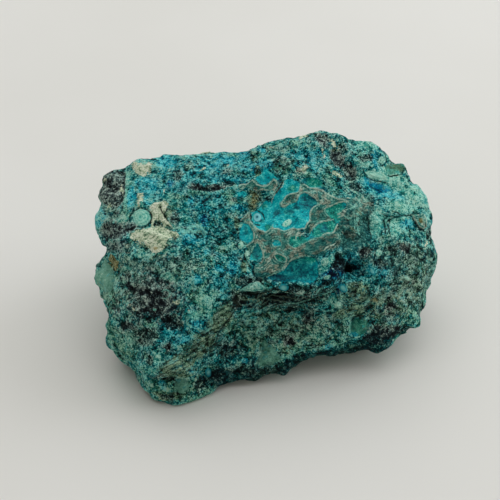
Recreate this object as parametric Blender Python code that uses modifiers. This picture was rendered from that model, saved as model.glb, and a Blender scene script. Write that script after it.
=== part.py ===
"""A hand specimen of chrysocolla: one broken lump of copper rock, modelled as the single stone it is.

Metres, +Z up. The stone stands on Z = 0 with the origin under the middle of its box. +X runs along
its length, and -Y is its show side, where the blue-green crust covers the sloping top.
"""

from typing import NamedTuple

import bmesh
import bpy
from mathutils import Vector, noise

MM = 0.001

# The blank: how finely the sections are joined, how the ends close, and how fine its skin is.
STEPS_AROUND = 5
STEPS_ALONG = 4
END_INSET = 0.55
END_BULGE = 1.0 * MM
SKIN_CELL = 1.0 * MM

# The finished solid.
STONE_TRIANGLES = 9300
GROUND_SIDE = 300 * MM
GROUND_DEPTH = 60 * MM

STONE_COLOUR = (0.055, 0.27, 0.27, 1.0)
STONE_ROUGHNESS = 0.62


class Section(NamedTuple):
    """A slice across the stone: its x, then (y, z) up the front, over the top and under. Millimetres."""

    x: float
    toe: tuple  # lowest point of the front
    shin: tuple  # middle of the front, drawn in where a ledge overhangs it
    brow: tuple  # edge where the front turns into the sloping top
    slope: tuple  # middle of the sloping top
    crest: tuple  # upper edge, at the back of the top
    back: tuple  # furthest point of the back
    heel: tuple  # lowest point of the back
    sole: tuple  # middle of the underside; below zero it is later cut flat


SECTIONS = [
    Section(-45, (3, 13), (0, 18), (3, 26), (11, 31.5), (24, 33), (27, 24), (20, 14), (10, 12)),
    Section(-42.5, (-10, 7), (-13, 12), (-8, 22), (7, 32.5), (28, 36), (33, 22), (26, 4), (5, 3.5)),
    Section(-38, (-16.5, 2), (-20, 8), (-18.5, 16), (-4, 32), (29.5, 38), (35, 20), (30, 2), (4, 0.5)),
    Section(-31, (-25, 0.5), (-24.5, 8), (-27, 14), (-9, 32), (29.5, 40), (35, 20), (31, 1.5), (2, -0.5)),
    Section(-24, (-28, -0.5), (-25.5, 7.5), (-29.5, 13.5), (-11, 33), (28.5, 41), (34, 20), (29, 1), (0, -0.8)),
    Section(-17, (-24.5, 0), (-23.5, 8), (-26.5, 15), (-10, 33.5), (28, 41.5), (33, 22), (27, 1), (0, -0.8)),
    Section(-10, (-21, 1.5), (-18, 12), (-19.5, 25.5), (0, 37), (27, 43.0), (34, 24), (28, 0.5), (2, -0.8)),
    Section(-3, (-20.5, 2), (-15, 18), (-15.5, 31), (3, 38.5), (27.5, 44.7), (36, 24), (31, 0.5), (4, -0.8)),
    Section(5, (-20, 3), (-13, 19), (-16, 30), (1, 39.5), (28.5, 46.7), (37, 25), (33, 0.5), (5, -0.8)),
    Section(13, (-18, 3.5), (-12, 19), (-15.5, 30), (1.5, 40), (29, 48.5), (37, 26), (33, 0.5), (6, -0.8)),
    Section(21, (-15.5, 4), (-11, 18), (-11.5, 31), (4, 40), (28.5, 47.7), (36, 25), (32, 1.5), (7, -0.5)),
    Section(29, (-12.5, 4.5), (-10, 17), (-6, 32.5), (9, 39.5), (29, 44.3), (34, 24), (29, 2.5), (9, 1)),
    Section(36, (-9, 5.5), (-9, 17), (-1.5, 32), (11, 37.5), (26.5, 40), (30.5, 23), (25, 5), (10, 3.5)),
    Section(41, (-4, 8.5), (-5, 17), (2, 30), (12, 35), (23.5, 36), (26, 22), (21, 8.5), (10, 7.5)),
    Section(43.8, (2, 13), (0, 18), (4, 27.5), (11, 32), (19, 32.5), (22, 22), (17, 13), (10, 12)),
]


class Break(NamedTuple):
    """A flat broken face: whatever stands in front of the plane is planed back to it. Millimetres."""

    name: str
    through: tuple
    facing: tuple


BREAKS = [
    Break("back, left of the buttress", (-24, 33.5, 20), (-0.30, 1.0, 0.10)),
    Break("back, right of the buttress", (20, 35.5, 22), (0.24, 1.0, 0.16)),
    Break("back, under the summit", (6, 34.0, 36), (0.05, 1.0, 0.55)),
    Break("left end", (-45.9, 6, 24), (-1.0, -0.10, 0.10)),
    Break("left end, low at the back", (-43, 8, 18), (-1.0, 0.50, -0.50)),
    Break("right end", (44.0, 14, 21), (1.0, 0.16, 0.04)),
    Break("right end, at the back", (35.6, 26.5, 22), (0.75, 0.80, 0.05)),
    Break("under the right end", (37, 0, 6.2), (0.66, -0.14, -1.0)),
    Break("under the back edge", (-4, 30, 1.0), (0.02, 0.42, -1.0)),
]


class Knock(NamedTuple):
    """A lump (positive height) or a dent (negative) on the stone, in millimetres."""

    name: str
    centre: tuple
    reach: tuple  # how far it spreads along x, y and z
    height: float
    rim: float = 1.0  # the share of the reach taken by its slope; small is a steep-sided ledge or pit


KNOCKS = [
    # the show side, left lobe
    Knock("upper left cheek", (-45, 11, 31), (6, 8, 5), 1.8),
    Knock("left waist", (-46, 5, 25.5), (7, 13, 3.4), -4.8),
    Knock("green cheek", (-46, 1, 20), (5, 6, 5), 2.4),
    Knock("lower left waist", (-44.5, -6, 12.5), (7, 10, 3.8), -4.8),
    Knock("left foot corner", (-43, -14, 11), (5, 5, 5), 1.8),
    Knock("lobe flank hollow", (-7, -19, 15), (5, 6, 10), -2.0),
    Knock("ridge over the foot", (-26, -30, 14.5), (13, 4, 2.2), 1.5, 0.6),
    Knock("groove over the foot", (-27, -28, 8.5), (14, 5, 2.2), -1.8, 0.7),
    Knock("clay shelf", (-31, -4, 33), (8, 6, 4), 0.9, 0.4),
    Knock("dip beside the clay", (-17, 0, 35), (7, 6, 4), -1.0),
    Knock("dark hollow of the lobe", (-30, -20, 22), (8, 6, 6), -0.9),
    # the crust mound and the broken face below it
    Knock("crust mound", (12, -7, 35), (20, 13, 9), 2.0),
    Knock("crust lip", (6, -16.5, 30.5), (15, 4, 2.6), 1.6, 0.7),
    Knock("gallery under the lip", (5, -14.5, 26), (16, 4, 2.6), -2.6, 0.7),
    Knock("ledge in the gallery", (9, -13.5, 22.8), (13, 4, 1.5), 1.2, 0.5),
    Knock("slot under the ledge", (6, -14, 19.6), (13, 4, 1.5), -1.1, 0.6),
    Knock("vug", (23.2, -8.5, 30.5), (5.5, 5.5, 4.5), -6.0, 0.8),
    Knock("valley down from the vug", (17, -13.5, 26), (6, 4, 3), -1.6),
    Knock("valley up from the vug", (32, -4, 33), (7, 5, 4), -1.4),
    Knock("shelf under the vug", (27, -12, 23), (12, 4, 3), 1.4, 0.6),
    Knock("swirled boss", (1, -18.5, 12), (6, 4, 4), 1.2),
    Knock("undercut hem", (15, -18, 3.5), (12, 5, 2.5), -1.2, 0.5),
    # the top and the right end
    Knock("summit", (15, 26, 47), (9, 7, 4), 0.8),
    Knock("saddle", (-9, 28, 44), (9, 6, 4), -0.8),
    Knock("crease beside the summit, high", (19, 21, 46), (4, 5, 4), -1.3),
    Knock("crease beside the summit, middle", (22.5, 16, 44.5), (4, 5, 4), -1.5),
    Knock("crease beside the summit, low", (26.5, 10, 42), (4, 5, 4), -1.2),
    Knock("right shoulder knob", (35.5, 24.5, 39.5), (3.2, 3.2, 3.0), 1.9),
    Knock("right cheek", (44, 8, 20), (4, 8, 8), 0.8),
    Knock("right brow corner", (43.5, 10, 32), (4, 6, 4), 0.9),
    Knock("right hem", (31, -10.5, 8.5), (10, 5, 3.5), 1.4, 0.6),
    Knock("undercut of the right hem", (35, -9, 3.5), (10, 6, 3), -2.2, 0.6),
    Knock("right end hollow", (43, 20, 24), (6, 6, 7), -1.8),
    # the back and the underside
    Knock("broken back scar", (14, 36, 30), (15, 8, 8), -3.2, 0.45),
    Knock("second back scar", (26, 35, 16), (9, 7, 6), -2.0, 0.4),
    Knock("back buttress", (-9, 35, 16), (8, 6, 15), 2.6, 0.7),
    Knock("back pocket", (-31, 33, 27), (7, 6, 6), -3.0, 0.6),
    Knock("back ledge", (-26, 33, 12), (13, 6, 3), 1.5, 0.4),
    Knock("back foot", (15, 35, 6), (12, 6, 5), 2.2),
    Knock("left end ledge", (-43, 20, 15), (5, 9, 3), 1.8, 0.5),
    Knock("left end scar", (-44, 16, 25), (5, 6, 4), -1.6, 0.5),
    Knock("hollow under the lobe", (-20, -8, 0), (11, 8, 6), -2.6, 0.7),
    Knock("hollow under the middle", (12, 6, 0), (10, 9, 6), -2.4, 0.6),
    Knock("hollow under the back", (-6, 24, 0), (13, 7, 6), -2.4, 0.7),
]


class Grain(NamedTuple):
    """One size of roughness over the whole skin, in millimetres."""

    width: float
    height: float
    offset: float  # moves the pattern, so that two sizes don't line up


LUMPS = Grain(11.0, 1.7, 3.1)
KNOBS = Grain(4.6, 0.95, 17.3)
CRUMBS = Grain(2.2, 0.4, 41.9)
CHIPS = Grain(8.5, 1.3, 7.7)
CHIP_EDGE = 0.28


def clear_scene():
    for item in list(bpy.data.objects):
        bpy.data.objects.remove(item)


def collection_named(name):
    made = bpy.data.collections.new(name)
    bpy.context.scene.collection.children.link(made)
    return made


def spline_point(before, start, end, after, share):
    """A point on the Catmull-Rom curve from start to end."""
    squared, cubed = share**2, share**3
    return 0.5 * (
        2 * start
        + (end - before) * share
        + (2 * before - 5 * start + 4 * end - after) * squared
        + (3 * start - before - 3 * end + after) * cubed
    )


def ring_through(corners, steps):
    """A closed smooth ring through the corners."""
    count = len(corners)
    return [
        spline_point(*(corners[(corner + shift) % count] for shift in (-1, 0, 1, 2)), step / steps)
        for corner in range(count)
        for step in range(steps)
    ]


def rings_between(rings, steps):
    """The rings, with smooth in-between rings added along the stone."""
    last = len(rings) - 1
    made = []
    for index in range(last):
        around = [rings[min(max(index + shift, 0), last)] for shift in (-1, 0, 1, 2)]
        for step in range(steps):
            made.append([spline_point(*four, step / steps) for four in zip(*around)])
    return made + [rings[-1]]


def end_ring(ring, bulge):
    """A smaller copy of an end ring, moved outwards, that rounds off the end of the stone."""
    middle = sum(ring, Vector()) / len(ring)
    return [middle + (point - middle) * END_INSET + Vector((bulge, 0, 0)) for point in ring]


def section_ring(section):
    corners = [Vector((section.x, y, z)) * MM for y, z in section[1:]]
    return ring_through(corners, STEPS_AROUND)


def lofted_blank():
    """The closed skin through all the sections."""
    rings = rings_between([section_ring(section) for section in SECTIONS], STEPS_ALONG)
    rings = [end_ring(rings[0], -END_BULGE), *rings, end_ring(rings[-1], END_BULGE)]
    skin = bmesh.new()
    loops = [[skin.verts.new(point) for point in ring] for ring in rings]
    around = len(loops[0])
    for one, other in zip(loops, loops[1:]):
        for index in range(around):
            following = (index + 1) % around
            skin.faces.new((one[index], one[following], other[following], other[index]))
    skin.faces.new(loops[0])
    skin.faces.new(loops[-1])
    bmesh.ops.recalc_face_normals(skin, faces=skin.faces)
    mesh = bpy.data.meshes.new("blank")
    skin.to_mesh(mesh)
    skin.free()
    return mesh


def evenly_skinned(mesh):
    """The same shape as a fine even mesh."""
    holder = bpy.data.objects.new("blank", mesh)
    bpy.context.scene.collection.objects.link(holder)
    remesh = holder.modifiers.new("even skin", "REMESH")
    remesh.mode = "VOXEL"
    remesh.voxel_size = SKIN_CELL
    graph = bpy.context.evaluated_depsgraph_get()
    skinned = bpy.data.meshes.new_from_object(holder.evaluated_get(graph))
    bpy.data.objects.remove(holder)
    return skinned


def planed(mesh):
    """Flattens the skin at the broken faces."""
    for broken_face in BREAKS:
        through = Vector(broken_face.through) * MM
        facing = Vector(broken_face.facing).normalized()
        for vert in mesh.vertices:
            beyond = (vert.co - through).dot(facing)
            if beyond > 0:
                vert.co -= facing * beyond
    return mesh


def knock_height(point, knock):
    """How far a knock moves a point of the skin. It fades out at the knock's reach."""
    apart = point / MM - Vector(knock.centre)
    distance = Vector((apart[axis] / knock.reach[axis] for axis in range(3))).length
    if distance >= 1:
        return 0.0
    rise = min(1.0, (1 - distance) / knock.rim)
    return knock.height * rise**2 * (3 - 2 * rise) * MM


def grain_height(point, grain):
    spot = point / (grain.width * MM) + Vector((grain.offset,) * 3)
    return grain.height * noise.noise(spot) * MM


def chip_height(point):
    """Shallow flat-bottomed chips that meet at low ridges, as on a hammered break."""
    spot = point / (CHIPS.width * MM) + Vector((CHIPS.offset,) * 3)
    nearest, second = noise.voronoi(spot)[0][:2]
    ridge = max(0.0, 1 - (second - nearest) / CHIP_EDGE)
    return CHIPS.height * (0.5 * ridge - nearest * 0.6 + 0.2) * MM


def weathered(mesh):
    """Moves the skin in and out along its normals: first the named knocks, then the roughness."""
    skin = bmesh.new()
    skin.from_mesh(mesh)
    for shift_of in (
        lambda point: sum(knock_height(point, knock) for knock in KNOCKS),
        lambda point: grain_height(point, LUMPS) + chip_height(point),
        lambda point: grain_height(point, KNOBS) + grain_height(point, CRUMBS),
    ):
        skin.normal_update()
        moves = [vert.normal * shift_of(vert.co) for vert in skin.verts]
        for vert, move in zip(skin.verts, moves):
            vert.co += move
    skin.to_mesh(mesh)
    skin.free()
    return mesh


def centred(mesh):
    """Puts the origin under the middle of the stone. Heights stay, because the ground cut sets them."""
    spots = [vert.co for vert in mesh.vertices]
    low = Vector(map(min, zip(*spots)))
    high = Vector(map(max, zip(*spots)))
    for vert in mesh.vertices:
        vert.co.x -= (low.x + high.x) / 2
        vert.co.y -= (low.y + high.y) / 2
    return mesh


def ground_cutter(helpers):
    """A block whose top is the surface that the stone stands on."""
    bpy.ops.mesh.primitive_cube_add(size=1)
    ground = bpy.context.object
    ground.name = "ground_cutter"
    ground.scale = (GROUND_SIDE, GROUND_SIDE, GROUND_DEPTH)
    ground.location.z = -GROUND_DEPTH / 2
    ground.hide_render = True
    ground.display_type = "WIRE"
    for held_in in list(ground.users_collection):
        held_in.objects.unlink(ground)
    helpers.objects.link(ground)
    return ground


def stone_material():
    material = bpy.data.materials.new("stone")
    material.use_nodes = True
    shader = material.node_tree.nodes["Principled BSDF"]
    shader.inputs["Base Color"].default_value = STONE_COLOUR
    shader.inputs["Roughness"].default_value = STONE_ROUGHNESS
    shader.inputs["Metallic"].default_value = 0.0
    return material


def make_stone(parts, ground):
    broken = evenly_skinned(planed(evenly_skinned(lofted_blank())))
    mesh = centred(weathered(broken))
    mesh.name = "stone"
    mesh.materials.clear()
    mesh.materials.append(stone_material())
    stone = bpy.data.objects.new("stone", mesh)
    parts.objects.link(stone)
    triangles = sum(len(face.vertices) - 2 for face in mesh.polygons)
    thin = stone.modifiers.new("fewer faces", "DECIMATE")
    thin.ratio = STONE_TRIANGLES / triangles
    flat = stone.modifiers.new("flat sole", "BOOLEAN")
    flat.operation = "DIFFERENCE"
    flat.solver = "EXACT"
    flat.object = ground
    return stone


def main():
    clear_scene()
    parts = collection_named("chrysocolla_specimen")
    helpers = collection_named("cutters")
    make_stone(parts, ground_cutter(helpers))


main()
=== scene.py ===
import math
from typing import NamedTuple

import bmesh
import bpy
import numpy as np
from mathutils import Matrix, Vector, noise
from mathutils.bvhtree import BVHTree


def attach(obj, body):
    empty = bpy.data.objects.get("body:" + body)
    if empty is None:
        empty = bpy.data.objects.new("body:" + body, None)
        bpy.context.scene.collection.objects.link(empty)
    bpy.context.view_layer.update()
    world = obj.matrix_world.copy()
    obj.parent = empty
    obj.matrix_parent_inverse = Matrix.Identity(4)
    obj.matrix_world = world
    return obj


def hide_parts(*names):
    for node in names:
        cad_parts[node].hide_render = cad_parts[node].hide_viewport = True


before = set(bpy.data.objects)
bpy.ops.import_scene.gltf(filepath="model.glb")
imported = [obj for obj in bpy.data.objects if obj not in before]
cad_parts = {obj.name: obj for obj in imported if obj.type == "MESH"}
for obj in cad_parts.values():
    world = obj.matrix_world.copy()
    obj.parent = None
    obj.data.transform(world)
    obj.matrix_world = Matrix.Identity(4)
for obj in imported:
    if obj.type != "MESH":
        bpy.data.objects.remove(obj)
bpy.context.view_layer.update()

MM = 0.001

# Where the camera stands, and the square picture that it takes.
CAMERA_RISE = math.radians(38)
CAMERA_REACH = 450 * MM
CAMERA_AIM = Vector((-4.2, 0, 27.1)) * MM
LENS_MM, FILM_MM = 120.1, 36.0
PICTURE_SIDE = 500
TO_CAMERA = Vector((0, -math.cos(CAMERA_RISE), math.sin(CAMERA_RISE)))
PICTURE_UP = Vector((0, math.sin(CAMERA_RISE), math.cos(CAMERA_RISE)))
PIXELS_PER_MM = PICTURE_SIDE * LENS_MM / FILM_MM * MM / CAMERA_REACH

# The stone's skin: how fine its mesh is and how far its facets are rounded off.
SKIN_CELL = 0.52 * MM
ROUNDING_PASSES = 3
MERGE_REACH = 0.001 * MM


# ---------------------------------------------------------------- the places of the minerals


class Patch(NamedTuple):
    """An oval patch on the show side, of a mineral's stain, of painted light or of painted shade: its middle
    and half sizes in picture pixels, its turn in degrees.
    """

    name: str
    across: float
    down: float
    half_wide: float
    half_high: float
    amount: float = 1.0
    turn: float = 0.0


def filled(kind, rows):
    """Each row of a table as one thing of that kind."""
    return [kind(*row) for row in rows]


# Black rock, and shaded places painted as dark as it: under the crust and the lip, the slot, the vug, the
# brow corner and the foot's notch are painted shade.
DARK_ROCK_AND_SHADE_PATCHES = filled(Patch, [
    ("under crust, middle", 290, 289, 24, 4, 1, -3), ("round leaf", 254, 294, 20, 3, 0.9, 4),
    ("under crust, left", 243, 283, 9, 4, 0.9, 5), ("left end face", 111, 190, 9, 16, 0.8, 6),
    ("left end seam", 124, 177, 1.6, 9, 0.9), ("left end, lower", 112, 230, 11, 10, 0.9),
    ("foot of bench", 129, 229, 8, 4.5, 0.8, -15), ("beside mint", 178, 175, 6, 6, 0.8),
    ("beside branch", 175, 218, 6, 7, 0.9), ("band across top, left", 196, 187, 11, 3, 0.95, 4),
    ("band across top", 214, 187.5, 12, 3, 1.1),
    ("band across top, right", 227, 184.5, 8, 3, 1.1, -10),
    ("grey rock over band", 227, 171, 6, 5, 0.7, 15),
    ("lobe, beside green cheek", 127, 276, 6, 5, 0.8), ("lobe, black band", 140, 290, 16, 5, 0.9, 22),
    ("lobe, middle", 158, 304, 15, 12, 1.1, 35), ("lobe, by stroke", 136, 310, 11, 6, 0.8, 20),
    ("lobe, below middle", 172, 321, 15, 8, 0.95, 30), ("lobe, lower left", 127, 325, 11, 8, 0.8),
    ("lobe, lower", 147, 336, 10, 11, 1, 40), ("lobe, by blue", 168, 347, 4, 7, 0.8, 10),
    ("lobe hem", 150, 361, 3.4, 5), ("summit", 323, 139, 10, 6, 0.8, 15),
    ("summit, right", 343, 149, 7, 7, 0.7, 35), ("streak beside summit, high", 337, 157, 7, 12, 1, -30),
    ("streak beside summit, low", 350, 172, 7, 11, 1, -35),
    ("granular beside smear", 355, 187, 10, 7, 0.75, 25),
    ("green rock below edge", 281, 162, 12, 9, 0.55),
    ("spot at top right", 364.5, 157.8, 7.5, 3.4, 1, 8), ("right tip", 430, 234, 2.4, 6),
    ("line through web", 369, 215, 1.6, 8, 1, 32), ("under web", 352, 237, 12, 4, 0.7),
    ("vug, tip", 338.5, 256, 3, 5, 1, -10), ("vug", 341, 265, 7, 6), ("over vug", 366, 252, 9, 7, 0.85),
    ("right of vug", 378, 263, 10, 5, 0.9, 15), ("right shoulder", 403, 247, 8, 5, 0.9, 38),
    ("right shoulder, low", 393, 250, 7, 4, 0.7), ("right flank, lower", 389, 310, 7, 9, 0.7),
    ("right nub", 422, 308, 3, 7, 0.8), ("edge of lip", 322, 286, 14, 2, 0.95, -33),
    ("under lip, left", 248, 280, 13, 2.4, 0.9, 3), ("under lip", 275, 294, 16, 2.4, 0.95, -3),
    ("slot", 293, 308.5, 10, 2.8, 1, -3), ("front, dark diagonal", 309, 318, 8, 13, 0.85, 25),
    ("brow corner", 236, 303, 6, 7, 0.95, 30), ("gallery, left", 256, 306, 18, 4, 0.6, 5),
    ("front, pocket", 290, 341, 5, 5, 0.95), ("front, low left", 226, 350, 12, 12, 0.75),
    ("foot, right", 201, 385, 8, 8, 0.9, 20), ("foot, under ridge", 165, 378, 12, 3.4, 0.9),
    ("foot, lowest", 168, 396, 13, 3, 0.7), ("foot notch", 216, 377, 7, 7, 0.95),
])
CYAN_PATCHES = filled(Patch, [
    ("over right pools", 316, 191, 12, 5, 0.9), ("over loop", 266, 165, 8, 5),
    ("bench", 147, 184, 11, 9), ("top left", 166, 162, 12, 7, 0.95),
    ("column beside left end", 131.5, 197, 5, 12), ("left cheek", 100, 216, 6, 13),
    ("top edge", 214, 163, 8, 7), ("top edge, middle", 228, 160, 7, 5), ("top edge, right", 262, 149, 5, 4),
    ("top edge, wide", 244, 155, 6, 5, 0.9), ("above band", 214, 179, 8, 4, 0.7),
    ("above band, right", 239, 181, 8, 3), ("spot below band", 191, 202, 4, 5, 0.9, 20),
    ("above clay", 150, 200, 8, 5, 0.9), ("middle of top", 204, 220, 7, 6, 0.9, 30),
    ("under white stroke", 190, 240, 7, 5), ("under white stroke, right", 206, 253, 3, 6, 0.7),
    ("arcs left of crust", 239, 208, 8, 4, 0.9), ("above crust", 250, 169, 5, 4),
    ("by crust, left", 233, 268, 5, 6), ("by crust, far left", 220, 269, 5, 5, 0.9),
    ("right of summit", 313, 155, 8, 3.4), ("lobe, cyan fleck", 198, 280, 4, 6, 0.9),
    ("lobe, right edge", 226, 284, 5, 10, 0.55, -12), ("lobe, swirl", 197, 323, 9, 6, 0.6),
    ("lobe, low", 183, 340, 8, 6, 0.7), ("right top, blue", 374, 158, 3.4, 10, 1, -8),
    ("right top, middle", 391, 194, 17, 5, 0.8, 12), ("right cell", 406, 223, 6, 5),
    ("over vug", 354, 254, 3.6, 4), ("left of vug's tip", 338, 246, 6, 4, 0.9, 25),
    ("right of vug", 371, 269, 5, 7, 0.9), ("blue knob", 383, 273, 4, 6),
    ("gallery pocket", 342, 289, 5.5, 5), ("front, low", 244, 361, 5, 3.4, 0.9),
    ("front, hem", 329, 350, 4, 4, 0.8), ("right hem", 354, 335, 5, 3, 0.9),
    ("foot", 162, 385, 6, 2.6, 1, 38), ("foot, right", 192, 372, 4, 4, 0.8),
])
DEEP_BLUE_PATCHES = filled(Patch, [
    ("smear at right top", 377, 185, 13, 3, 1, 24),
    ("pocket rim in bench", 169.5, 184, 4, 3.4, 1, 20), ("top", 204, 220, 4, 5, 0.9),
    ("by vug", 333, 273, 12, 5, 1, -15), ("left of blue knob", 381, 262, 6, 6, 0.7),
    ("gallery pocket", 341, 291, 5, 3, 0.9),
])
MINT_PATCHES = filled(Patch, [
    ("over right pools", 329, 195, 8, 4, 0.8), ("rim of left end", 127, 178, 3, 7, 0.9),
    ("rim of left end, low", 125.5, 198, 1.6, 12, 0.9, 3), ("left cheek", 100, 216, 4, 6, 0.7),
    ("under left end", 121, 220, 6, 5, 0.9, -40), ("by finger", 150, 200, 6, 3.4, 0.8),
    ("under finger", 140, 204, 3.4, 4.4), ("beside dark pocket", 171.5, 198, 4, 7, 0.7),
    ("bench, crumbs", 135, 216, 5, 5, 0.6), ("middle of top", 212, 204, 6, 4, 0.6, 30),
    ("right of clay", 187, 219, 8, 6, 0.6), ("below clay", 141, 256, 10, 4, 0.7),
    ("lobe, top left", 128, 269, 5, 4, 0.7), ("lobe, curl", 166, 276, 7, 4, 0.7),
    ("lobe, ring", 166, 295, 4, 5, 0.7), ("lobe, right", 207, 302, 14, 16, 0.6, 20),
    ("lobe, over swirl", 196, 314, 7, 4, 0.8, -20), ("lobe, low mint", 158, 358, 5, 5, 0.95, 20),
    ("lobe, left hem", 127, 341, 8, 10, 0.6, -35), ("foot, upper", 151, 371, 5, 4, 0.7),
    ("right top, upper", 366, 146, 11, 3.6, 1, 12), ("right top, by spot", 366, 165, 6, 3, 0.95),
    ("right top", 395, 183, 20, 10, 0.9, 40), ("right top, outer", 415, 196, 10, 14, 0.8, -38),
    ("right top, lower", 402, 206, 15, 7, 0.95, 5), ("left of cells", 377, 213, 8, 7, 0.9),
    ("left cell", 376, 227, 6, 8, 0.95), ("right cell", 395, 227, 6, 10, 0.95),
    ("right cell, top", 402, 218, 9, 2, 0.9, -12), ("arches of web", 333, 198, 12, 4, 0.5, 12),
    ("rim of vug", 327, 264, 12, 4, 1, -44), ("right of vug", 373, 267, 2.4, 8, 0.8, -15),
    ("gallery specks", 333, 302, 11, 6, 0.6), ("gallery, under pool", 303, 286, 7, 3.4, 0.7, 15),
    ("front hem", 316, 336, 9, 5, 0.6, 10),
])
OLIVE_PATCHES = filled(Patch, [
    ("right of band", 388, 304, 30, 22, 0.65, -20), ("patch in crust", 254, 198, 6, 12, 1, 6),
    ("patch over olive", 257, 171, 3, 7, 0.9, 8), ("streak left of crust", 236.5, 223, 2.6, 9, 0.95),
    ("streak below it", 243.5, 267, 2.4, 6, 1, -18), ("top edge", 254, 157, 4, 4, 0.8),
    ("ridge over foot, high", 220, 320, 9, 22, 0.9, 35),
    ("ridge over foot, middle", 202, 345, 10, 20, 0.9, 45),
    ("ridge over foot, low", 176, 366, 9, 22, 0.9, 62), ("ridge, brown", 191, 363, 7, 4, 0.9, -30),
    ("moss in clay", 163, 216, 13, 13), ("behind shelf", 153, 240, 24, 12, 0.7),
    ("foot", 170, 396, 18, 5, 0.8), ("brow corner", 240, 296, 10, 5, 0.9, 20),
    ("gallery", 266, 300, 24, 8, 0.6), ("gallery, streaks", 263, 314, 12, 3, 0.7),
    ("crust, low", 276, 267, 8, 4, 0.9, -15), ("band under vug, high", 359, 292, 11, 10, 0.95, 35),
    ("band under vug, low", 350, 312, 20, 6, 1, -12), ("under vug, dark", 354, 285, 5, 3.4, 0.9, -20),
    ("right hem", 375, 318, 16, 6, 0.6), ("web, ochre", 357, 212, 4.5, 3, 1, -20),
    ("web grey", 335, 243, 14, 7, 0.6, -32), ("right end", 427, 272, 6, 8, 0.8),
    ("right flank", 412, 290, 14, 20, 0.7, 8), ("front, brown", 223, 356, 4, 6, 0.6),
    ("front, wide", 285, 345, 60, 14, 0.5), ("foot, wide", 180, 372, 30, 12, 0.6),
    ("lobe, low", 180, 325, 5, 5, 0.7),
])
GREY_PATCHES = filled(Patch, [
    ("left end", 113, 200, 12, 30, 0.8, 8), ("left end, lower", 115, 213, 8, 6, 0.9, -40),
    ("lobe, upper left", 142, 290, 34, 28, 0.8, 10), ("lobe, lower left", 135, 335, 22, 20, 0.7, -30),
    ("lobe, top", 160, 266, 46, 13, 0.9), ("shoulder under cells", 405, 258, 28, 16, 0.9),
    ("lobe, under clay", 131, 262, 11, 4, 0.9), ("right flank", 412, 276, 26, 36, 0.9, 8),
    ("right flank, left", 385, 295, 20, 16, 0.6), ("gallery", 300, 294, 22, 5, 0.8, -4),
    ("gallery, right", 328, 291, 10, 4, 0.8, -20), ("front", 290, 330, 70, 24, 0.6),
    ("front, right", 332, 318, 14, 7, 0.7), ("fringe", 258, 370, 44, 8, 0.7, 2),
    ("under right hem", 390, 330, 30, 10, 0.7), ("over band on top", 190, 166, 8, 6, 0.7),
])
GREEN_PATCHES = filled(Patch, [
    ("front face", 285, 335, 64, 24, 0.8, 4), ("front, left green", 230, 326, 7, 10, 1, 30),
    ("front hem", 300, 352, 40, 6, 0.7, -2), ("right flank", 412, 296, 20, 28, 0.9, 12),
    ("right flank, upper", 415, 260, 16, 18, 0.8), ("left flank", 112, 300, 9, 15, 0.9),
    ("foot", 177, 388, 30, 14, 0.9), ("lobe, left hem", 124, 345, 13, 18, 0.9, -30),
    ("lobe, right", 197, 297, 9, 8, 0.9), ("rock by top edge", 281, 165, 14, 11, 0.7),
    ("left of left pools", 246, 227, 4, 5, 0.9), ("pocket in web", 364, 218, 3.4, 5, 0.9),
    ("lobe curl", 166, 276, 8, 4, 0.6),
])
SOFT_GREEN_PATCHES = filled(Patch, [
    ("left flank", 104, 297, 7, 6, 0.7), ("front", 262, 352, 10, 10, 0.6),
])
# Purple-black rock; the rows in the gallery and under the right hem also stand for painted shade.
PLUM_PATCHES = filled(Patch, [
    ("under bench", 118, 246, 12, 8, 0.85), ("lobe, left hem", 116, 309, 7, 13, 0.6),
    ("left end", 112, 190, 9, 17), ("left end, low", 115, 231, 15, 9),
    ("foot of bench", 129, 227, 10, 6, 1, -15), ("left end, streaked", 117, 212, 7, 7, 0.5),
    ("lobe, upper", 149, 271, 8, 4, 0.6), ("lobe, wide", 154, 298, 28, 22, 0.85, 30),
    ("lobe, black band", 141, 291, 14, 4, 0.9, 22), ("lobe, middle", 155, 297, 8, 8, 0.7),
    ("lobe, by blue", 168, 347, 4, 6, 0.9, 10), ("lobe, lower left", 128, 326, 10, 7, 0.6),
    ("band across top, left", 196, 185, 7, 2.6, 0.8), ("band across top", 218, 187, 9, 2.6, 0.9),
    ("spot left of crust", 234, 200, 6, 3, 0.7), ("summit", 322, 141, 7, 7, 0.9),
    ("streak beside summit", 338, 159, 6, 12, 1, -30), ("streak, low", 352, 171, 5, 8, 0.8, -35),
    ("smear in web", 370, 205, 3.4, 7, 1, 10), ("over vug", 366, 252, 7, 6, 0.9),
    ("right shoulder", 406, 247, 5, 5, 0.9, 38), ("right flank", 412, 282, 9, 4, 0.5),
    ("front, pocket", 290, 341, 5, 5, 0.9), ("front, diagonal", 308, 320, 6, 7, 0.7),
    ("brow corner", 236, 303, 5, 6, 0.8), ("gallery", 292, 299, 34, 7, 0.7, -3),
    ("under right hem", 385, 331, 17, 6), ("under right hem, low", 372, 339, 12, 4, 0.8),
    ("right flank, lower", 389, 308, 6, 8, 0.6),
])
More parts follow.
